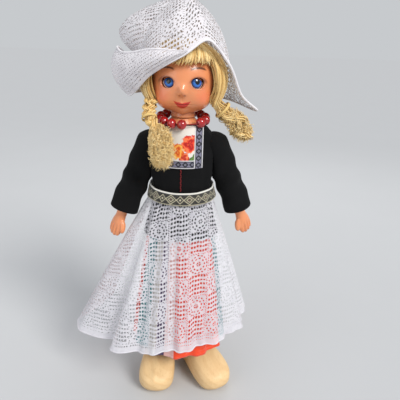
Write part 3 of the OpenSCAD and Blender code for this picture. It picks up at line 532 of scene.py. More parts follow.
def face_paint():
    """Skin with painted cheeks, brows, a dark line over each eye and lips, with painted shade round the eye
    openings and in the nostrils.
    """
    paint = skin_paint("face_skin")
    front = paint.y.rise(-2.0, -5.0)
    side = paint.x.abs()
    cheek = (side - CHEEK_AT[0]).length(paint.z - CHEEK_AT[1])
    paint.lay(cheek.rise(CHEEK_R, 0.6) * front * 0.36, (226, 82, 58))
    brow_x, brow_z = side - BROW_AT[0], paint.z - BROW_AT[1]
    brow = (brow_x.length(brow_z) - BROW_R).abs()
    span = brow_x.abs().rise(3.9, 2.4) * brow_z.rise(2.0, 4.0) * front
    paint.lay(brow.rise(BROW_W, 0.15) * span * 0.92, (96, 50, 28))
    eye_x, eye_z = (side - EYE_SX) / EYE_OPEN[0], (paint.z - EYE_Z) / EYE_OPEN[1]
    rim = eye_x.length(eye_z)
    # Skin painted darker round each eye opening, fading outwards: painted shade in the recess.
    paint.lay(rim.rise(1.55, 1.0) * front * 0.35, (176, 92, 60))
    lid = rim.rise(1.24, 1.08) * eye_z.rise(-0.25, 0.35) * front
    paint.lay(lid * 0.55, (96, 52, 36))
    bend, lip_z = paint.x * paint.x, paint.z - LIP_Z
    smile = lip_z - bend * 0.15
    bow = (side - 1.2).abs() * -0.28
    upper = smile - 0.95 - bow + bend * 0.05
    lower = smile * -1 - 1.8 + bend * 0.09
    inside = upper.most(lower)
    paint.lay(inside.rise(0.3, -0.1) * front * 0.95, (198, 36, 30))
    paint.lay(smile.abs().rise(0.26, 0.06) * inside.rise(0.0, -0.4) * front * 0.7, (122, 18, 20))
    nostril_x, nostril_z = side - NOSTRIL_AT[0], paint.z - NOSTRIL_AT[1]
    nostril = (nostril_x * nostril_x + nostril_z * nostril_z * 2.0).root()
    # Dark marks at the nostrils: painted shade standing in for the nostrils' hollows.
    paint.lay(nostril.rise(0.75, 0.25) * front * 0.55, (140, 66, 42))
    return paint.bump(paint.noise(0.8), 0.015).done()


IRIS_R, PUPIL_R = 2.75, 1.3
LASH_UP, LID_UP = math.radians(31), math.radians(39)


def eye_paint(name, centre, gaze, radius):
    """Eyeball: white, blue iris and pupil along the gaze, painted shade over the iris's top, and a
    skin-coloured lid over the top.
    """
    paint = Paint(name, (232, 230, 226), Roughness=0.12, Coat_Weight=0.4, Coat_Roughness=0.03)
    far = paint.distance(centre + radius * gaze)
    streak = paint.noise(0.35, stretch=(1, 0.6, 1))
    paint.lay(far.rise(3.0, 2.8), (10, 28, 70))
    paint.lay(far.rise(IRIS_R, 2.0) * 0.95, (26, 98, 190))
    paint.lay(far.rise(2.5, PUPIL_R) * streak.rise(0.46, 0.7) * 0.8, (112, 184, 238))
    # The iris is painted darker towards its top: painted shade from the lid, fading out below the middle of the
    # eye.
    lid_shadow_fade = paint.z.rise(centre[2] + 2.2, centre[2] - 1.8)
    paint.lay(far.rise(IRIS_R, 2.4) * lid_shadow_fade.rise(0.65, 0.1) * 0.7, (8, 22, 62))
    paint.lay(far.rise(PUPIL_R, 1.05), (4, 6, 14))
    up = (paint.z - centre[2]).angle(paint.y * -1 + centre[1])
    for start, colour in ((LASH_UP, (40, 22, 16)), (LID_UP, (206, 126, 88))):
        paint.lay(up.rise(start, start + 0.03), colour)
    return paint.done()


def hair_paint(name, middle, pale, deep):
    paint = Paint(name, middle, Roughness=0.42, Sheen_Weight=0.1)
    tone = paint.attribute("tone")
    paint.lay(tone.rise(0.45, 1.0) * 0.8, pale)
    paint.lay(tone.rise(0.45, 0.0) * 0.7, deep)
    fine = paint.noise(0.5, detail=4, stretch=(1, 1, 0.12))
    paint.lay(fine.rise(0.58, 0.78) * 0.3, deep)
    return paint.bump(fine, 0.12).done()


def lace_paint(name, colour, shade, cover):
    paint = Paint(name, colour, Roughness=0.85, Sheen_Weight=0.25, Alpha=cover)
    u, v = paint.attribute("along"), paint.attribute("up")
    threads = (u * (2 * math.pi / 0.62)).sin() * 0.5 + (v * (2 * math.pi / 0.55)).sin() * 0.5
    paint.lay(threads.rise(0.1, -0.9) * 0.5, shade)
    paint.lay(paint.noise(5.0).rise(0.45, 0.75) * 0.3, shade)
    return paint.bump(threads * 0.5 + paint.noise(0.3, detail=5), 0.14).done()


def black_paint():
    paint = Paint("black_cotton", (7, 7, 8), Roughness=0.95, Specular_IOR_Level=0.25)
    weave = (paint.x * 9.0).sin() * (paint.z * 9.0).sin()
    paint.lay(weave.rise(0.1, 0.9) * 0.4, (14, 14, 16))
    paint.lay(paint.noise(6.0).rise(0.5, 0.8) * 0.4, (16, 16, 18))
    lint = paint.noise(0.5, detail=5)
    paint.lay(lint.rise(0.7, 0.82) * 0.3, (44, 44, 47))
    return paint.bump(weave * 0.4 + lint, 0.1).done()


# Place, size, lean and colour of each leaf; place, radius and colours of each rose
LEAVES = (
    ((4.6, 128.2), (2.2, 1.1), 40, (70, 110, 48)), ((1.6, 127.0), (1.8, 0.9), -10, (86, 120, 50)),
    ((-1.6, 126.9), (1.7, 0.8), 15, (60, 98, 44)), ((6.2, 129.8), (1.6, 0.9), 80, (96, 126, 66)),
)
ROSES = (
    ((1.4, 129.4), 3.2, (176, 26, 20), (214, 60, 36), (244, 140, 84)),
    ((3.9, 135.6), 5.4, (168, 20, 18), (222, 50, 30), (246, 128, 76)),
    ((-2.2, 132.2), 4.6, (206, 66, 18), (238, 124, 34), (250, 190, 86)),
)


def bib_paint():
    """White cotton printed with plain roses and leaves."""
    paint = Paint("rose_print", (228, 222, 212), Roughness=0.85, Sheen_Weight=0.15)
    waver = paint.noise(1.6, detail=2) * 1.6

    def leaf(at, size, lean, colour):
        dx, dz = paint.x - at[0], paint.z - at[1]
        c, s = math.cos(math.radians(lean)), math.sin(math.radians(lean))
        a, b = (dx * c + dz * s) / size[0], (dz * c - dx * s) / size[1]
        inside = a.length(b) + waver * 0.15
        paint.lay(inside.rise(1.2, 0.95), colour)
        paint.lay(b.abs().rise(0.2, 0.05) * inside.rise(1.1, 0.8) * 0.6, (150, 170, 84))

    def rose(at, radius, deep, mid, pale):
        dx, dz = paint.x - at[0], paint.z - at[1]
        r = dx.length(dz) / radius
        bearing = dz.angle(dx)
        scallop = (bearing * 5).sin() * 0.05 + waver * 0.42
        inside = (r + scallop).rise(1.16, 1.04)
        petals = (r * 9 + (bearing * 3 + r * 4).sin() * 1.5 + waver * 3.4).sin()
        paint.lay(inside, mid)
        paint.lay(petals.rise(0.2, 0.9) * inside * 0.9, pale)
        paint.lay(petals.rise(-0.3, -0.9) * inside * 0.85, deep)
        paint.lay((r + waver * 0.2).rise(0.36, 0.2) * inside * 0.7, deep)

    for row in LEAVES:
        leaf(*row)
    for row in ROSES:
        rose(*row)
    weave = (paint.x * 12.0).sin() * (paint.z * 12.0).sin()
    return paint.bump(weave, 0.05).done()


BORDER_STEP, BELT_STEP = 3.3, 8.4


def border_paint():
    """Dark woven ribbon with black diamonds and a white line along each edge."""
    paint = Paint("bib_ribbon", (120, 118, 138), Roughness=0.75, Sheen_Weight=0.2)
    u, v = paint.attribute("along"), paint.attribute("up")
    cell = (u.wrap(BORDER_STEP) - BORDER_STEP / 2).abs()
    middle = (v - 0.5).abs() * BIB_RIBBON
    diamond = cell * 1.05 + middle
    for field, a, b, colour in (
        (diamond, 1.75, 1.5, (20, 20, 34)), (diamond, 0.75, 0.5, (150, 150, 166)),
        (diamond, 0.42, 0.2, (12, 12, 20)), (middle, 1.15, 1.3, (22, 22, 36)),
        (middle, 1.5, 1.62, (214, 212, 214)),
    ):
        paint.lay(field.rise(a, b), colour)
    thread = (u * 10.0).sin() * (v * 44.0).sin()
    paint.lay(thread.rise(0.3, 0.9) * 0.25, (60, 60, 76))
    return paint.bump(thread, 0.06).done()


def belt_paint():
    """Dark woven ribbon with cream nested diamonds under a white top edge."""
    paint = Paint("belt_ribbon", (26, 25, 24), Roughness=0.75, Sheen_Weight=0.2)
    u, v = paint.attribute("along"), paint.attribute("up")
    cream = (196, 188, 160)
    cell = (u.wrap(BELT_STEP) - BELT_STEP / 2).abs()
    middle = (v - 0.46).abs() * BELT_H
    large = cell * 0.85 + middle
    small = (cell - BELT_STEP / 2).abs() * 1.1 + middle
    for field, size in ((large, 2.15), (large, 1.05), (small, 1.75)):
        paint.lay((field - size).abs().rise(0.3, 0.12), cream)
    paint.lay(small.rise(0.7, 0.45), cream)
    paint.lay(large.rise(0.4, 0.2), (120, 70, 60))
    dots = (u * 3.6).sin() * (v * 26.0).sin()
    paint.lay(dots.rise(0.6, 0.9) * 0.5, (130, 124, 100))
    paint.lay(v.rise(0.86, 0.9), (226, 223, 214))
    paint.lay(v.rise(0.085, 0.05), (172, 164, 138))
    thread = (u * 9.0).sin() * (v * 60.0).sin()
    return paint.bump(thread, 0.08).done()


STRIPES = (
    (25.0, (70, 138, 142)),
    (13.0, (196, 192, 184)),
    (10.0, (74, 58, 92)),
    (13.0, (226, 178, 172)),
    (68.0, (226, 66, 26)),
)
STRIPE_START = -64.0


def skirt_paint():
    """Crinkled cotton with broad upright stripes that repeat round the skirt, with painted highlight and shade
    on the crinkles.
    """
    paint = Paint("striped_cotton", STRIPES[-1][1], Roughness=0.85, Sheen_Weight=0.2)
    repeat = sum(width for width, colour in STRIPES)
    place = (paint.attribute("along") - STRIPE_START).wrap(repeat) + paint.noise(2.5) * 0.8
    edge = 0.0
    for width, colour in STRIPES[:-1]:
        end = edge + width
        paint.lay(place.rise(edge - 0.3, edge + 0.3) * place.rise(end + 0.3, end - 0.3), colour)
        edge = end
    crinkle = paint.noise(1.1, detail=4, stretch=(0.25, 0.25, 1.6))
    # The crinkles' ridges are painted lighter and their hollows darker: painted highlight and painted shade
    # over the bump.
    paint.lay(crinkle.rise(0.55, 0.75) * 0.28, (250, 214, 190))
    paint.lay(crinkle.rise(0.45, 0.28) * 0.25, (120, 26, 16))
    return paint.bump(crinkle, 0.3).done()


def bead_paint():
    paint = Paint("red_beads", (164, 16, 22), Roughness=0.12, Coat_Weight=0.9, Coat_Roughness=0.04)
    paint.lay(paint.noise(2.2).rise(0.45, 0.7) * 0.6, (116, 8, 14))
    paint.lay(paint.noise(1.1).rise(0.6, 0.8) * 0.4, (204, 42, 38))
    return paint.done()


def wood_paint():
    paint = Paint("pale_wood", (222, 188, 138), Roughness=0.5)
    warp = paint.noise(14.0, detail=2) * 5.0
    rings = ((paint.x * 0.55 + paint.z * 0.9 + warp) * 1.9).sin()
    fibre = paint.noise(0.7, detail=5, stretch=(1, 0.08, 1))
    paint.lay(rings.rise(0.0, 0.95) * 0.2, (196, 152, 98))
    paint.lay(fibre.rise(0.52, 0.72) * 0.3, (190, 146, 94))
    paint.lay(paint.noise(7.0).rise(0.5, 0.75) * 0.35, (228, 192, 138))
    pores = paint.noise(0.35, detail=2, stretch=(1, 0.2, 1)).rise(0.7, 0.78)
    paint.lay(pores * 0.45, (140, 96, 56))
    return paint.bump(rings * 0.3 + fibre, 0.08).done()


def metal_paint(name, colour, rough):
    paint = Paint(name, colour, Roughness=rough, Metallic=1.0)
    paint.lay(paint.noise(1.0, detail=4).rise(0.5, 0.8) * 0.3, (120, 120, 122))
    return paint.bump(paint.noise(0.4, stretch=(0.1, 1, 1)), 0.02).done()


def cord_paint(name, colour, shade):
    paint = Paint(name, colour, Roughness=0.8)
    braid = (paint.x * 6.0 + paint.y * 4.0).sin() * (paint.x * 6.0 - paint.y * 4.0).sin()
    paint.lay(braid.rise(0.2, 0.8) * 0.4, shade)
    return paint.bump(braid, 0.06).done()


SKIN = plain_skin()
HAIR = hair_paint("blond_hair", (226, 188, 118), (246, 220, 160), (188, 144, 76))
# The tufts' hair is a lighter copy of the wig's hair: painted light that offsets the shade the curls cast on
# one another.
TUFTS_PAINTED_LIGHTER = hair_paint("blond_tufts_painted_lighter", (238, 202, 130), (252, 230, 174), (210, 164, 92))
APRON_LACE = lace_paint("apron_lace", (226, 224, 229), (180, 176, 188), 0.76)
CAP_LACE = lace_paint("cap_lace", (228, 224, 227), (184, 176, 182), 1.0)
BLACK = black_paint()
WOOD = wood_paint()
BEADS = bead_paint()
STEEL = metal_paint("drawn_wire", (168, 170, 174), 0.3)
LEAD = metal_paint("weight_metal", (96, 98, 102), 0.6)
ELASTIC = cord_paint("covered_elastic", (226, 220, 204), (190, 182, 162))
RED_THREAD = cord_paint("red_thread", (122, 18, 22), (86, 8, 14))
HAIR_THREAD = cord_paint("hair_thread", (222, 190, 122), (176, 138, 76))

for node, material in {
    "torso_front": SKIN, "torso_back": SKIN, "leg_right": SKIN, "leg_left": SKIN,
    "neck_hook": STEEL, "eye_axle": STEEL, "eye_weight": LEAD, "eye_bracket": ELASTIC,
    "shoulder_elastic": ELASTIC, "hip_elastic": ELASTIC, "necklace_beads": BEADS, "necklace_thread": RED_THREAD,
}.items():
    slots = frame["nodes"][node].data.materials
    slots.clear()
    slots.append(material)


# Head and sleep eyes

FACE_SWELLS = (
    (2.0, 0, -14, 7, 9), (1.8, 40, -34, 19, 17), (1.9, 66, -42, 26, 19), (1.7, 0, -64, 24, 12),
    (0.7, 0, -38, 14, 8), (-0.7, 27, -1, 11, 9), (0.4, 0, 36, 40, 24),
    (0.3, 0, -36.6, 15, 1.8), (0.4, 0, -42.2, 12, 2.2), (-0.35, 0, -39.3, 20, 1.1),
    (-0.4, 0, -48, 12, 3), (0.35, 6, -19, 3.5, 3.5), (-0.25, 0, -29, 3, 5),
)
JAW_IN = 0.05
LON_SPREAD = 0.45


def head_point(lon, lat):
    out = sum(
        size * hump(np.abs(lon), lon0, lon_w) * hump(lat, lat0, lat_w)
        for size, lon0, lat0, lon_w, lat_w in FACE_SWELLS
    )
    jaw = 1 - JAW_IN * share(-10, -80, lat)
    lo, la = np.radians(lon), np.radians(lat)
    return np.stack([
        (HEAD_A + out) * jaw * np.cos(la) * np.sin(lo),
        -(HEAD_B + out) * np.cos(la) * np.cos(lo),
        HEAD_C + (HEAD_H + out / 2) * np.sin(la),
    ], -1)


EYE_R, EYE_SEAT_R = 3.6, 3.9
EYE_X = (high("eye_left")[0] + low("eye_left")[0]) / 2
GAZE_YAW, GAZE_PITCH, GAZE_SHIFT = 21.0, 9.0, 5.0


def eye_cutters(side):
    """Opening through the face and the round seat behind it, for one eye."""
    t = np.linspace(0, 2 * np.pi, 48, endpoint=False)
    outline = np.stack([EYE_OPEN[0] * np.cos(t), np.zeros(48), EYE_OPEN[1] * np.sin(t)], -1)
    outline[:, 2] += 0.35 * np.cos(t) ** 2 * np.sign(np.sin(t)) * 0.6
    rings = np.stack([outline + [0, depth, 0] for depth in (2.6, -3.0)])
    rings = rings @ turn(2, EYE_YAW).T + [EYE_SX, EYE_SY, EYE_Z]
    rings[..., 0] *= side
    cutter = closed_object("eye_cut", rings if side > 0 else rings[:, ::-1])
    seat = closed_object("eye_seat", EYE_SEAT_R * ball(24, 40, 88) + [side * EYE_X, EYE_Y, EYE_Z])
    return [cutter, seat]


NECK_R = 6.0


def make_head():
    half = np.linspace(-1, 1, 220, endpoint=False)
    lon = 180 * half * (LON_SPREAD + (1 - LON_SPREAD) * np.abs(half))
    lat = np.concatenate([np.linspace(-88, -60, 16), np.linspace(-59.4, 26, 144), np.linspace(28, 88, 30)])
    lat, lon = grid(lat, lon)
    head = closed_object("head", head_point(lon, lat))
    combine(head, [c for side in (-1, 1) for c in eye_cutters(side)], "DIFFERENCE")
    smooth(head.data)
    finish_piece(head, face_paint(), "head", "skin", "head_front", "head_back")
    rise = np.linspace(NECK_Z + 0.3, HEAD_C - 12.4, 8)
    wide = (NECK_R - 0.25 * np.sin(np.linspace(0, np.pi, 8)))[:, None]
    rings = ring_point(circle(64)[None], wide, wide, rise[:, None])
    finish_piece(closed_object("neck_plug", rings), SKIN, "head", "skin")


def make_eyes():
    for side, name in ((-1, "right"), (1, "left")):
        centre = np.array([side * EYE_X, EYE_Y, EYE_Z])
        yaw, pitch = math.radians(side * GAZE_YAW + GAZE_SHIFT), math.radians(GAZE_PITCH)
        flat = math.cos(pitch)
        gaze = np.array([math.sin(yaw) * flat, -math.cos(yaw) * flat, math.sin(pitch)])
        eye = closed_object(f"eye_{name}_ball", ball(64, 96, 89) * EYE_R + centre)
        finish_piece(eye, eye_paint(f"eye_{name}_glass", centre, gaze, EYE_R), "eyes", "eye", f"eye_{name}")


# Hair

def wig_point(angle, down, scale):
    """Point of the wig; angle from the front towards +X, down from the crown, both in degrees."""
    d = np.radians(down)
    out = np.where(down > 90, np.maximum(np.sin(d), 0.86), np.sin(d)) * scale
    return ring_point(angle, HAIR_A * out, HAIR_B * out, HEAD_C + HAIR_H * scale * np.cos(d))


FRINGE_END, SIDE_END = 60.0, 133.0
# Strands: how many, between which angles, where they start, how deep they lie, how far they sweep
# and how uneven they end
WIG_LAYERS = (
    (620, (46, 314), 4, (0.97, 1.0), 0, 1.6),
    (280, (-51, 51), 4, (0.97, 1.0), -11, 2.6),
    (120, (56, 84), 45, (0.83, 0.97), 0, 1.6),
    (120, (-84, -56), 45, (0.83, 0.97), 0, 1.6),
    (110, (-50, 50), 30, (0.88, 0.96), -11, 3.4),
)


def hair_end(angle):
    """How far down the hair reaches: a short fringe in front and long sides."""
    return mix(FRINGE_END, SIDE_END, share(50, 58, np.abs(front_angle(angle))))


def make_wig():
    t, angle = grid(np.linspace(0, 1, 60), circle(160))
    base = wig_point(angle, mix(1.0, hair_end(angle) - 2, t), 0.965)
    tone = 0.35 + 0.2 * np.sin(angle * 0.9) * np.sin(angle * 0.31)
    scalp = sheet_object("wig_base", base[::-1], closed=True, attributes={"tone": tone[::-1]})
    finish_piece(thicken(scalp, 1.2), HAIR, "head", "hair", "wig_cap")
    paths, tones, radii = [], [], []
    for count, span, start, depth, sweep, ragged in WIG_LAYERS:
        angle = rng.uniform(*span, count)
        end = hair_end(angle) + rng.normal(0, ragged, count)
        t = np.linspace(0, 1, 16)
        down = mix(start + rng.uniform(0, 6, count)[:, None], end[:, None], t[None])
        lock = 0.012 * np.sin(np.radians(angle) * 23 + 1.0)
        scale = rng.uniform(*depth, count) + lock + 0.008
        drift = rng.normal(sweep, 2.2, count)[:, None] * t[None] ** 2
        wave = 0.8 * np.sin(5 * t[None] + rng.uniform(0, 6.3, count)[:, None])
        paths.append(wig_point(angle[:, None] + drift + wave, down, scale[:, None]))
        tones.append(np.clip(0.5 + 22 * lock + rng.normal(0, 0.22, count), 0, 1))
        radii.append(rng.uniform(0.2, 0.42, count))
    strands = tubes("wig_strands", np.concatenate(paths), np.concatenate(radii), wide=1.7,
                    attributes={"tone": np.concatenate(tones)})
    finish_piece(strands, HAIR, "head", "hair")


BUNCH_RIGHT = np.array([
    [-14, -7, -8], [-15.2, -9, -12.5], [-14.8, -12, -17], [-11.6, -15.5, -21.5],
    [-9.4, -18.4, -26.5], [-8.6, -19.4, -31.5], [-8.2, -19.4, -35.5], [-8, -19.4, -38],
]) + [0, 0, HEAD_C]
BUNCH_LEFT = np.array([
    [14, -2, -7], [17.6, -2, -12], [22, -1.5, -16], [26, -1, -19.5],
    [28.6, -0.5, -22.6], [29, 0, -25], [28.6, 0, -26.8],
]) + [0, 0, HEAD_C]


def along_path(path, t):
    """Points and two cross directions along a path, at shares t of its points."""
    rows = np.column_stack([np.linspace(0, 1, len(path)), path])
    at = level(rows, t)
    way = unit(level(rows, np.minimum(t + 0.01, 1)) - level(rows, np.maximum(t - 0.01, 0)))
    u = unit(np.cross([0, 1, 0], way))
    return at, u, np.cross(way, u)


CURL_POINTS, TUFT_CURLS, RINGLET_CURLS = 26, 1120, 620


def frizz(path, count, first, last, radius, length):
    """Short curled strands that fill the thick part of a bunch."""
    k = np.linspace(-0.5, 0.5, CURL_POINTS)
    t = rng.uniform(first, last, count)
    at, u, v = along_path(path, t)
    way = unit(np.cross(u, v) + rng.normal(0, 0.42, (count, 3)))
    a = unit(np.cross(way, [0.3, 1, 0.2]))
    b = np.cross(way, a)
    end = np.sqrt(np.maximum(0.1, 1 - share(last - 0.25, last + 0.02, t) ** 2))
    plump = share(first - 0.12, first + 0.08, t) * end

    def each(low_end, high_end):
        return rng.uniform(low_end, high_end, (count, 1))

    angle = each(0, 2 * np.pi)
    out = (radius * plump * np.sqrt(rng.uniform(0.1, 1, count)))[:, None]
    middle = at + out * around(angle, u, v)
    phase = rng.choice([-1, 1], (count, 1)) * each(9, 20) * k + each(0, 6.3)
    coil = each(0.3, 0.9) * (1 - np.abs(k))
    drop = (k * each(*length))[..., None] * way[:, None]
    ring = around(phase[..., None], a[:, None], b[:, None])
    return list(middle[:, None] + drop + coil[..., None] * ring)


def strand_piece(name, paths, fine, centre):
    """Strands as one piece, of which the last ones are finer and lighter."""
    count = len(paths)
    coarse, thin = rng.uniform(0.14, 0.26, count), rng.uniform(0.06, 0.13, count)
    thick = np.where(np.arange(count) < count - fine, coarse, thin)
    tone = np.clip(rng.normal(0.5, 0.22, count) + 0.25 * (thick < 0.135), 0, 1)
    return tubes(name, np.array(paths), thick, sides=3, wide=1.4, centre=centre, attributes={"tone": tone})


# Below these heights and beyond this side the tuft is pressed together, so that the sleeve passes it
TUFT_SIDE_X, TUFT_PRESS_Z, TUFT_PRESS = -14.0, (147, 143), 0.3
PLAIT_STRANDS = 60


def make_bunch_right():
    """A short plait that opens into a frizzy tuft on the chest."""
    t = np.linspace(0, 0.5, CURL_POINTS)
    at, u, v = along_path(BUNCH_RIGHT, t)
    paths = []
    spread = 1 + 1.6 * share(0.38, 0.5, t)
    for lock in range(3):
        phase = 2 * np.pi * lock / 3 + t * 26
        weave = at + 1.75 * np.sin(phase)[:, None] * u + 0.95 * np.sin(2 * phase)[:, None] * v
        for strand in range(PLAIT_STRANDS):
            angle, out = rng.uniform(0, 2 * np.pi), 1.6 * math.sqrt(rng.uniform(0.05, 1)) * spread
            paths.append(weave + out[:, None] * around(angle, u, v))
    paths += frizz(BUNCH_RIGHT, TUFT_CURLS, 0.44, 0.9, 5.8, (3.5, 7))
    for path in paths:
        x, keep = path[:, 0], mix(1, TUFT_PRESS, share(*TUFT_PRESS_Z, path[:, 2]))
        path[:, 0] = np.where(x < TUFT_SIDE_X, mix(TUFT_SIDE_X, x, keep), x)
    return strand_piece("hair_bunch_right_strands", paths, TUFT_CURLS, (-8.5, -8, 140))


LOCKS, LOCK_STRANDS = 15, 22


def make_bunch_left():
    """A bunch of loose ringlets over the shoulder."""
    t = np.linspace(0, 1, CURL_POINTS)
    at, u, v = along_path(BUNCH_LEFT, t)
    paths = []
    for lock in range(LOCKS):
        angle, out = 2.4 * lock, 3.8 * math.sqrt((lock + 0.5) / LOCKS)
        spread = 0.35 + 0.65 * share(0.1, 0.5, t)
        centre = at + spread[:, None] * out * around(angle, u, v)
        coil = rng.uniform(1.0, 1.6) * share(0.08, 0.3, t)
        phase = rng.uniform(16, 22) * t * (1 if lock % 2 else -1) + rng.uniform(0, 6.3)
        for strand in range(LOCK_STRANDS):
            slip, (a, b) = rng.normal(0, 0.25), rng.normal(0, 0.5, 2)
            ring = around((phase + slip)[:, None], u, v)
            paths.append(centre + coil[:, None] * ring + a * u + b * v)
    paths += frizz(BUNCH_LEFT, RINGLET_CURLS, 0.34, 0.97, 5.0, (3, 7))
    return strand_piece("hair_bunch_left_strands", paths, RINGLET_CURLS, (18, 0, 140))


TIE_TURNS, TIE_R = 3, 0.34


def make_tie(name, path, share_at, radius, node):
    """A few turns of thread round a bunch."""
    at, u, v = along_path(path, np.array([share_at]))
    way = np.cross(u, v)
    angle = np.linspace(0, 2 * np.pi * TIE_TURNS, 90)[:, None]
    ring = at + radius * around(angle, u, v) + np.linspace(-0.6, 0.6, 90)[:, None] * way
    tie = tubes(name, ring[None], [TIE_R], sides=8, centre=at[0] - 3 * way[0])
    finish_piece(tie, HAIR_THREAD, "head", "hair", node)


def make_bunches():
    for piece, node, drop in ((make_bunch_right(), "hair_bunch_right", (-24, -15)),
                              (make_bunch_left(), "hair_bunch_left", (-23, -14))):
        piece.data.materials.append(TUFTS_PAINTED_LIGHTER)
        start, end = to_row([[0, 0, HEAD_C + z] for z in drop])
        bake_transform(piece)
        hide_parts(node)
    make_tie("hair_tie_right_thread", BUNCH_RIGHT, 0.27, 3.3, "hair_tie_right")
    make_tie("hair_tie_left_thread", BUNCH_LEFT, 0.22, 4.3, "hair_tie_left")


# Lace cap

CAP_T, CAP_GAP, CAP_H = 0.8, 0.3, 36.0
CAP_A, CAP_B = HAIR_A + CAP_GAP + CAP_T, HAIR_B + CAP_GAP + CAP_T
CAP_FLARE_H, CAP_SQUARE = 18.0, 11.0
CAP_CORNER, CORNER_TURN, CORNER_HALF, CORNER_RISE = 18.0, -112.0, 42.0, 9.0
CAP_EDGE = (
    (-180, 0.4, -7), (-130, 4, -7.5), (-95, 5.5, -7.5), (-70, 3, -6.5), (-40, 0.6, 2.5), (0, 0.4, 11),
    (36, 0.6, 17.6), (60, 2.6, 8), (82, 6, -6), (104, 16, -14.5), (130, 9, -11), (180, 0.4, -7),
)
CUFF_FIRST, CUFF_LAST, CUFF_H, CUFF_BULGE, CUFF_LEAN = -136.0, 6.0, 21.0, 12.0, 4.0
CUFF_ROWS = ((CUFF_FIRST, 0.34), (-95, 1), (-40, 0.5), (CUFF_LAST, 0.04))


def cap_point(angle, t):
    """Point of the cap at a share t from its edge to its peak."""
    edge = level(CAP_EDGE, angle)
    flare0, rise0 = edge[..., 0], edge[..., 1]
    z = mix(rise0, CAP_H, t)
    k = np.maximum(0.03, (1 - share(0, CAP_H, z) ** 2) ** 0.62)
    flare = flare0 * (1 - share(0, CAP_FLARE_H, z - rise0)) ** 2
    near = 1 - np.minimum(1, np.abs(angle - CORNER_TURN) / CORNER_HALF)
    corner = CAP_CORNER * near**1.3 * np.sin(np.pi * share(CORNER_RISE, CAP_H, z)) ** 0.8
    rumple = 0.35 * np.sin(np.radians(angle) * 7 + t * 5) * np.sin(np.pi * np.clip(t, 0, 1))
    return oval(angle, k[..., None] * (CAP_A, CAP_B), HEAD_C + z, flare + corner + rumple)


def cuff_point(angle, t):
    """Point of the turned-up brim at a share t from the cap's edge to its free edge."""
    edge = cap_point(angle, np.zeros_like(t))
    w = level(CUFF_ROWS, angle)[..., 0]
    start = np.hypot(edge[..., 0], edge[..., 1]) + CAP_GAP
    r = start + w * (2 * t * (1 - t) * CUFF_BULGE + t**2 * CUFF_LEAN)
    r = r + 0.3 * np.sin(np.radians(angle) * 9) * t
    return ring_point(angle, r, r, edge[..., 2] + w * CUFF_H * t)


# Half widths of the bars across a rosette and of its two rings of holes
BAR, RING_WIDE = 0.2, (0.34, 0.32)


def filet_holes(u, v, square):
    """Where filet lace is open: squares of ring rosettes and of ladder rows, in a checker."""
    su, sv = np.floor(u / square), np.floor(v / square)
    fu, fv = u - (su + 0.5) * square, v - (sv + 0.5) * square
    au, av = np.abs(fu), np.abs(fv)
    r, angle = np.hypot(fu, fv), np.arctan2(fv, fu)
    centre = (au + av < 0.14 * square) & (au >= BAR) & (av >= BAR)
    inner = (np.abs(r - 0.27 * square) < RING_WIDE[0]) & (np.sin(angle * 10) > -0.1)
    outer = (np.abs(r - 0.41 * square) < RING_WIDE[1]) & (np.sin(angle * 16) > -0.1)
    ladder = (fv % (square / 5) < 0.5 * square / 5) & (fu % 1.5 < 1.0) & (au < 0.45 * square)
    seam = (np.maximum(au, av) > 0.47 * square) & (np.sin((fu + fv) * 5.2) > 0.45)
    rosette = (su + sv) % 2 == 0
    return np.where(rosette, centre | inner | outer, ladder) | seam


def cell_middle(values):
    return (values[:-1, :-1] + values[1:, :-1] + values[:-1, 1:] + values[1:, 1:]) / 4


def arc_grid(points, start):
    """Distances in millimetres along each row from a start column, and up each column of a grid."""
    u, v = [np.insert(np.cumsum(steps(points, axis), axis=axis), 0, 0, axis=axis) for axis in (1, 0)]
    return u - u[:, start:start + 1], v


def edge_cord(name, points, radius, material, body, slot):
    cord = tubes(name, points[None], [radius], sides=8, centre=(0, 0, HEAD_C + 10))
    finish_piece(cord, material, body, slot)


def lace_sheet(name, points, hole, material, body, slot, node, held, start=0):
    """Sheet of lace with its holes left open."""
    u, v = arc_grid(points, start)
    keep = ~hole(cell_middle(u), cell_middle(v))
    piece = sheet_object(name, points, keep=keep, attributes={"along": u, "up": v})
    finish_piece(piece, material, body, slot, node)
    declare_cloth(piece, points, held, area=sum(p.area for p in piece.data.polygons))


def crown_holes(u, v):
    return filet_holes(u, v, CAP_SQUARE) & (v > 1.6)


def cuff_holes(u, v):
    return ((v % 1.5) < 0.5) & ((u % 1.15) < 0.5) & (v > 1.4)


def make_cap():
    cap = (CAP_LACE, "head", "cap_lace")
    t, angle = grid(np.linspace(0, 0.995, 110), np.linspace(-180, 180, 321))
    lace_sheet("cap_crown_lace", cap_point(angle, t), crown_holes, *cap, "cap_crown", "stretched", start=160)
    edge = cap_point(np.linspace(-180, 180, 200), np.zeros(200))
    edge_cord("cap_hem", edge, 0.55, *cap)
    t, angle = grid(np.linspace(0, 1, 56), np.linspace(CUFF_FIRST, CUFF_LAST, 230))
    lace_sheet("cap_cuff_lace", cuff_point(angle, t), cuff_holes, *cap, "cap_cuff", "folded")
    free = cuff_point(np.linspace(CUFF_FIRST, CUFF_LAST, 140), np.ones(140))
    edge_cord("cap_cuff_hem", free, 0.45, *cap)


# Jacket and bib

TRUNK_ROWS = (
    (HIP_Z - 8, 8, 4.5), (HIP_Z + 5, 13, 9.5), (WAIST_Z, *WAIST),
    (mix(WAIST_Z, SHOULDER_Z, 0.64), 13, 10.5), (SHOULDER_Z + 1, 12.6, 9.3),
    (SHOULDER_Z + 6.5, 10.5, 8.5), (NECK_Z - 2.5, 7.1, 7.1), (NECK_Z, 5.5, 5.5),
)
PEPLUM = (19.5, 15.5)


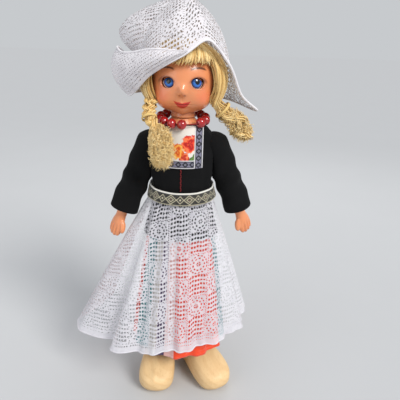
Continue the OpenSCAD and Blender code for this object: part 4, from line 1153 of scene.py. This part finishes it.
def jacket_size(z):
    """Half width and half depth of the jacket's outside at height z."""
    body = level(TRUNK_ROWS, z) + JACKET_OFF + CLOTH_T
    waist = WAIST + JACKET_OFF + CLOTH_T
    w = share(WAIST_Z, PEPLUM_Z, z)[..., None] ** 1.2
    return np.where(np.asarray(z)[..., None] >= WAIST_Z, body, mix(waist, np.array(PEPLUM), w))


def cloth_folds(angle, z):
    t = np.radians(angle)
    gather = share(WAIST_Z + 12, WAIST_Z + 2, z) * share(PEPLUM_Z - 14, WAIST_Z, z)
    ease = share(COLLAR_Z, SHOULDER_Z, z)
    return 0.16 * np.sin(t * 17 + 0.4) * gather + 0.12 * np.sin(t * 5 + z * 0.5) * ease


# The jacket reaches out to the armholes' seams from these angles on and between these heights
SEAM_ANGLES, SEAM_LOW, SEAM_HIGH = (50, 64), (111, 119), (141, 137)
CLOTH_WALL, RIBBON_WALL, SKIRT_WALL = 0.6, 0.3, 0.5


def make_jacket():
    z, angle = grid(np.linspace(PEPLUM_Z, COLLAR_Z, 90), circle(180))
    points = oval(angle, jacket_size(z), z, cloth_folds(angle, z))
    seam = share(*SEAM_ANGLES, 90 - np.abs(np.abs(front_angle(angle)) - 90))
    seam = seam * share(*SEAM_LOW, z) * share(*SEAM_HIGH, z)
    points[..., 0] = mix(points[..., 0], np.sign(points[..., 0]) * (ARMHOLE_X - 0.3), seam)
    jacket = sheet_object("jacket_cloth", points, closed=True)
    finish_piece(thicken(jacket, CLOTH_WALL), BLACK, "torso", "black_cloth", "jacket_bodice")
    declare_cloth(jacket, round_again(points), "stretched", "torso_front", "torso_back")


def front_strip(x0, x1, z0, z1, off):
    """Grid on the front of the jacket between two widths and two heights."""
    z, x = grid(np.linspace(z0, z1, 40), np.linspace(x0, x1, 40))
    size = jacket_size(z) + off
    y = -size[..., 1] * np.sqrt(np.maximum(0.02, 1 - (x / size[..., 0]) ** 2))
    return np.stack([x, y, z], -1)


STITCH_STEP, STITCH_R, STITCH_LEAN = 1.15, 0.26, 0.28


def make_bib():
    half, top = BIB_W / 2, COLLAR_Z - 0.2
    inner, sill = half - BIB_RIBBON, BIB_Z + BIB_RIBBON
    points = front_strip(-(inner + 0.3), inner + 0.3, sill - 0.3, top, 0.3)
    panel = sheet_object("bib_cloth", points)
    finish_piece(thicken(panel, RIBBON_WALL), bib_paint(), "torso", "bib_cloth", "bib_panel")
    declare_cloth(panel, points, "stretched", "torso_front")
    ribbon = border_paint()
    for name, x0, x1, z1, *nodes in (
        ("bib_border_right", -half, -inner, top),
        ("bib_border_left", inner, half, top),
        ("bib_border_low", -inner, inner, sill, "bib_border"),
    ):
        points = front_strip(x0, x1, BIB_Z, z1, 0.5)
        x, z = points[..., 0], points[..., 2]
        along, across = (z - BIB_Z, share(x0, x1, x)) if z1 == top else (x - x0, share(BIB_Z, z1, z))
        strip = sheet_object(name, points, attributes={"along": along, "up": across})
        finish_piece(thicken(strip, RIBBON_WALL), ribbon, "torso", "ribbon", *nodes)
    stitches, k = [], np.linspace(-1, 1, 7)
    for z in np.arange(WAIST_Z + BELT_H - 2.5, BIB_Z - 0.4, STITCH_STEP):
        y = -jacket_size(np.array(z))[1] - 0.1
        lean = STITCH_LEAN * (-1) ** len(stitches)
        stitches.append(np.stack([lean * k, y - 0.12 * (1 - k * k), z + 0.5 * k], -1))
    line = tubes("jacket_stitches", np.array(stitches), [STITCH_R] * len(stitches), sides=6, centre=(0, 0, 116))
    finish_piece(line, RED_THREAD, "torso", "red_thread", "jacket_placket")


def at_shoulder(points, side, swing):
    """Places a piece made along -Z from the left shoulder joint."""
    placed = points @ (turn(0, swing) @ turn(1, -ARM_TILT)).T + [ARM_X, 0, SHOULDER_Z]
    placed[..., 0] *= side
    return placed


# The sleeve's top: its end above the joint, how far it goes in near the joint, and the shoulder's slope
SLEEVE_TOP, SLEEVE_IN, JOINT_GAP, SHOULDER_SLOPE = 6.6, 4, (8.5, 6.8), 0.28


def make_sleeve(side, name, swing):
    s, angle = grid(np.linspace(SLEEVE_L, -SLEEVE_TOP, 110), circle(96))
    dome = np.sqrt(np.maximum(0.25, (SLEEVE_D / 2) ** 2 - s**2))
    flare = mix(SLEEVE_D / 2, SLEEVE_END_D / 2, share(0, SLEEVE_L, s) ** 2)
    t = np.radians(angle)
    elbow = 0.5 * np.sin(0.6 * s + 1.8 * np.sin(t + 0.5)) * hump(s, 21, 11)
    fold = elbow + 0.3 * np.sin(3 * t + s * 0.3) * share(4, 18, s)
    radius = np.where(s < 0, dome, flare + fold)
    placed = at_shoulder(ring_point(angle, radius, radius, -s), 1, swing)
    axis_gap = np.hypot(placed[..., 1], placed[..., 2] - SHOULDER_Z)
    inside = ARMHOLE_X - 0.1 - SLEEVE_IN * share(*JOINT_GAP, axis_gap)
    placed[..., 0] = np.maximum(placed[..., 0], inside)
    above = placed[..., 2] - SHOULDER_Z
    placed[..., 2] -= SHOULDER_SLOPE * above * share(0, 5, above)
    placed[..., 0] *= side
    sleeve = sheet_object(f"sleeve_{name}_cloth", placed if side > 0 else placed[:, ::-1], closed=True)
    finish_piece(thicken(sleeve, CLOTH_WALL), BLACK, f"arm_{name}", "black_cloth", f"sleeve_{name}")
    declare_cloth(sleeve, round_again(placed), "stretched", f"arm_{name}")


ARM_ROWS = (
    (-0.48 * ARM_BALL_D, 0.8, 0.8), (-0.36 * ARM_BALL_D, 3.4, 3.4), (0, 5, 5), (10, 4.3, 4.3), (22, 3.9, 3.9),
    (ARM_L - 13, 2.7, 3.0), (ARM_L - 8, 2.7, 4.1), (ARM_L - 4.5, 2.4, 4.4), (ARM_L - 1.2, 1.8, 3.4),
    (ARM_L, 0.7, 1.6),
)
HAND_TURN = 45.0
FINGER_GROOVES, GROOVE_W, GROOVE_DEPTH = (-2.1, 0.0, 2.1), 0.42, 1.1
THUMB = [[0, -2.4, 10 - ARM_L], [0, -4, 8.4 - ARM_L], [0, -5.2, 6 - ARM_L], [0, -5.5, 4 - ARM_L]]
THUMB_R, HAND_VOXEL = 1.5, 0.00032


def hand_turned(points):
    """Points of an arm, with the hand turned about the arm's line so that the thumb goes inwards."""
    angle = np.radians(-HAND_TURN * share(ARM_L - 19, ARM_L - 9, -points[..., 2]))
    x, y, c, s = points[..., 0], points[..., 1], np.cos(angle), np.sin(angle)
    return np.stack([x * c - y * s, x * s + y * c, points[..., 2]], -1)


def thumb_rings():
    rows = np.column_stack([np.linspace(0, 1, 4), THUMB])
    t = np.linspace(0, 1, 14)
    way = unit(np.gradient(level(rows, t), axis=0))
    u = np.tile([1.0, 0, 0], (14, 1))
    v = np.cross(way, u)
    thick = THUMB_R * np.sqrt(np.clip(1 - ((t - 0.35) / 0.68) ** 2, 0.03, 1))
    angle = np.linspace(0, 2 * np.pi, 24, endpoint=False)[:, None]
    ring = around(angle, u[:, None], v[:, None])
    return level(rows, t)[:, None] + thick[:, None, None] * ring


def make_arm(side, name, swing):
    s, angle = grid(np.linspace(ARM_L, 4.0, 150), circle(72))
    points = oval(angle, level(ARM_ROWS, s), -s)
    grooves = sum(hump(points[..., 1], y, GROOVE_W) for y in FINGER_GROOVES)
    depth = GROOVE_DEPTH * grooves * share(ARM_L - 8, ARM_L - 5, s)
    points[..., 0] -= np.sign(points[..., 0]) * np.minimum(depth, np.abs(points[..., 0]) * 0.62)
    points[..., 2] += GROOVE_DEPTH * grooves * share(ARM_L - 3, ARM_L, s)
    arm = closed_object(f"arm_{name}_limb", hand_turned(points))
    combine(arm, [closed_object("thumb", hand_turned(thumb_rings()))], "UNION")
    move_mesh(arm, lambda places: at_shoulder(places, side, swing), side)
    modify(arm, "REMESH", mode="VOXEL", voxel_size=HAND_VOXEL)
    modify(arm, "SMOOTH", factor=0.5, iterations=2)
    final_mesh(arm)
    smooth(arm.data)
    finish_piece(arm, SKIN, f"arm_{name}", "skin", f"arm_{name}")


# Belt, skirt and apron

def make_belt():
    t, angle = grid(np.linspace(0, 1, 24), circle(240))
    spread = BELT_OFF + BELT_FLARE * (1 - t) + CLOTH_T + 0.1 * np.sin(np.radians(angle) * 9 + 4 * t)
    z = WAIST_Z + BELT_H * (t - BELT_BELOW) - BELT_SAG * np.cos(np.radians(angle)) / 2
    points = oval(angle, WAIST, z, spread)
    along = front_angle(angle) / 360 * steps(points, 1).sum(1).mean()
    belt = sheet_object("belt_ribbon", points, closed=True, attributes={"along": along, "up": t})
    finish_piece(thicken(belt, SKIRT_WALL), belt_paint(), "torso", "ribbon", "belt")


SKIRT_ROWS = (
    (SKIRT_HEM_Z, 25.5, 24), (mix(SKIRT_HEM_Z, HIP_Z, 0.5), 21.9, 19.6), (HIP_Z + 3, 16.9, 12.35),
    (WAIST_Z - 2, 13.05, 10.05), (SKIRT_TOP_Z, 13.05, 10.05),
)
SKIRT_FOLDS, SKIRT_FOLD = 12, 1.0


def make_skirt():
    z, angle = grid(np.linspace(SKIRT_HEM_Z, SKIRT_TOP_Z, 130), circle(260))
    t = np.radians(angle)
    k = share(HIP_Z + 3, SKIRT_HEM_Z, z)
    fold = SKIRT_FOLD * k * np.cos(SKIRT_FOLDS * t) + 0.25 * k * np.sin(29 * t + z * 0.1)
    crinkle = 0.1 * np.sin(z * 2.6 + 2 * np.sin(5 * t)) * k
    points = oval(angle, level(SKIRT_ROWS, z), z, fold + crinkle - 0.2)
    skirt = sheet_object("skirt_cloth", points, closed=True, attributes={"along": front_angle(angle)})
    finish_piece(thicken(skirt, SKIRT_WALL), skirt_paint(), "torso", "striped_cloth", "skirt")
    declare_cloth(skirt, round_again(points), "gathered", "torso_front", "torso_back")


APRON_FIRST, APRON_LAST, APRON_FOLDS, APRON_FOLD = -118.0, 104.0, 7, 3.0
APRON_SQUARE, APRON_HEM_H, APRON_LIFT = 10.8, 5.2, 5.8
APRON_HEM = (
    (APRON_FIRST, 46), (-84, 54), (-55, 39.96), (-28, 30), (0, 27), (35, 28.5), (75, 33), (APRON_LAST, 36),
)


def apron_point(angle, t):
    """Point of the apron at a share t from its hem to its gathered top."""
    a, b = WAIST + APRON_OFF
    around = np.radians(angle)
    top = a * b / np.sqrt((b * np.sin(around)) ** 2 + (a * np.cos(around)) ** 2)
    hem = level(APRON_HEM, angle)[..., 0]
    v = 1 - t
    wave = 0.5 + 0.5 * np.cos(2 * np.pi * APRON_FOLDS * (angle - APRON_FIRST) / (APRON_LAST - APRON_FIRST))
    ripple = 0.5 * v * np.sin(around * 31 + 2 * t) + 0.35 * share(0.8, 1, t) * np.sin(around * 44)
    deep = -8.0 * v**0.8 * hump(angle, -62, 7) + 3.0 * v**0.8 * hump(angle, -48, 6.5)
    r = mix(top, hem, v**0.92) + APRON_FOLD * v * wave + ripple + deep + CLOTH_T / 2 + 0.3
    hem_z = APRON_HEM_Z + APRON_LIFT * share(-35, 40, angle)
    return ring_point(angle, r, r, mix(hem_z, APRON_TOP_Z, t))


def apron_holes(u, v):
    up = v - APRON_HEM_H
    body = filet_holes(u + 0.5 * APRON_SQUARE, up, APRON_SQUARE) & (v > APRON_HEM_H)
    row = np.minimum(np.abs(up + 0.4), np.abs(up + 1.9)) < 0.26
    return body | (row & (u % 1.1 < 0.5))


def make_apron():
    lace = (APRON_LACE, "torso", "apron_lace")
    t, angle = grid(np.linspace(0, 1, 200), np.linspace(APRON_FIRST, APRON_LAST, 420))
    points = apron_point(angle, t)
    middle = int(np.argmin(np.abs(angle[0])))
    lace_sheet("apron_lace", points, apron_holes, *lace, "apron", "gathered", start=middle)
    edge_cord("apron_hem", points[0], 0.4, *lace)


# Clogs

FOOT_HEEL_Y, FOOT_L, FOOT_HOLE_R, HEEL_R = 6.0, 11, 5.4, 6.3
CLOG_L, CLOG_H, SOLE_T = 39.5, 17.5, 3.0
CLOG_HEEL_Y = FOOT_HEEL_Y + HEEL_R
CLOG_TOE_Y = CLOG_HEEL_Y - CLOG_L
CLOG_ROWS = (
    (CLOG_TOE_Y, 2.4, 8.2, 4.6), (CLOG_TOE_Y + 1.6, 5.8, 10.4, 2.2), (CLOG_TOE_Y + 6, 9.0, 12.6, -0.4),
    (CLOG_TOE_Y + 13, 9.6, CLOG_H - 2, -0.8), (CLOG_TOE_Y + 20, 8.8, CLOG_H, -0.8),
    (FOOT_HEEL_Y - 4, 6.9, CLOG_H - 0.8, -0.8), (FOOT_HEEL_Y, 6.3, CLOG_H - 1.6, -0.8),
    (CLOG_HEEL_Y - 1.4, 3.9, CLOG_H - 2.6, -0.4), (CLOG_HEEL_Y, 1.6, CLOG_H - 4.4, 1.5),
)
TOE_OUT = {"right": 3.0, "left": 33.0}


def signed_power(x, power):
    return np.sign(x) * np.abs(x) ** power


def make_clog(side, name):
    y, angle = grid(np.linspace(CLOG_TOE_Y, CLOG_HEEL_Y, 70), circle(72))
    size = level(CLOG_ROWS, y)
    sine, cosine = np.sin(np.radians(angle)), np.cos(np.radians(angle))
    middle, half = (size[..., 1] + size[..., 2]) / 2, (size[..., 1] - size[..., 2]) / 2
    x = size[..., 0] * signed_power(sine, 0.8)
    z = middle + half * signed_power(cosine, 0.7)
    ridge = 0.7 * hump(x, 0, 1.2) * (cosine > 0) * share(CLOG_TOE_Y + 20, CLOG_TOE_Y + 6, y)
    clog = closed_object(f"clog_{name}_wood", np.stack([x, y, np.maximum(z + ridge, 0.0)], -1))
    sine, cosine = np.sin(np.radians(circle(48))), np.cos(np.radians(circle(48)))
    shift = np.where(cosine > 0, FOOT_HEEL_Y, FOOT_HEEL_Y - FOOT_L)
    plan = [FOOT_HOLE_R * sine, FOOT_HOLE_R * cosine + shift]
    rings = np.stack([np.column_stack([*plan, np.full(48, h)]) for h in (40.0, SOLE_T)])
    combine(clog, [closed_object("foot_hole", rings)], "DIFFERENCE")

    def place(points):
        return (points @ turn(2, TOE_OUT[name]).T + [LEG_X, 0, 0]) * [side, 1, 1]

    move_mesh(clog, place, side)
    smooth(clog.data)
    modify(clog, "BEVEL", width=0.0005, segments=2, limit_method="ANGLE", angle_limit=math.radians(40))
    finish_piece(clog, WOOD, f"leg_{name}", "wood", f"clog_{name}")


make_head()
make_eyes()
make_wig()
make_bunches()
make_cap()
make_jacket()
make_bib()
for side, name, swing in ((-1, "right", 0.0), (1, "left", ARM_BACK)):
    make_sleeve(side, name, swing)
    make_arm(side, name, swing)
    make_clog(side, name)
make_belt()
make_skirt()
make_apron()
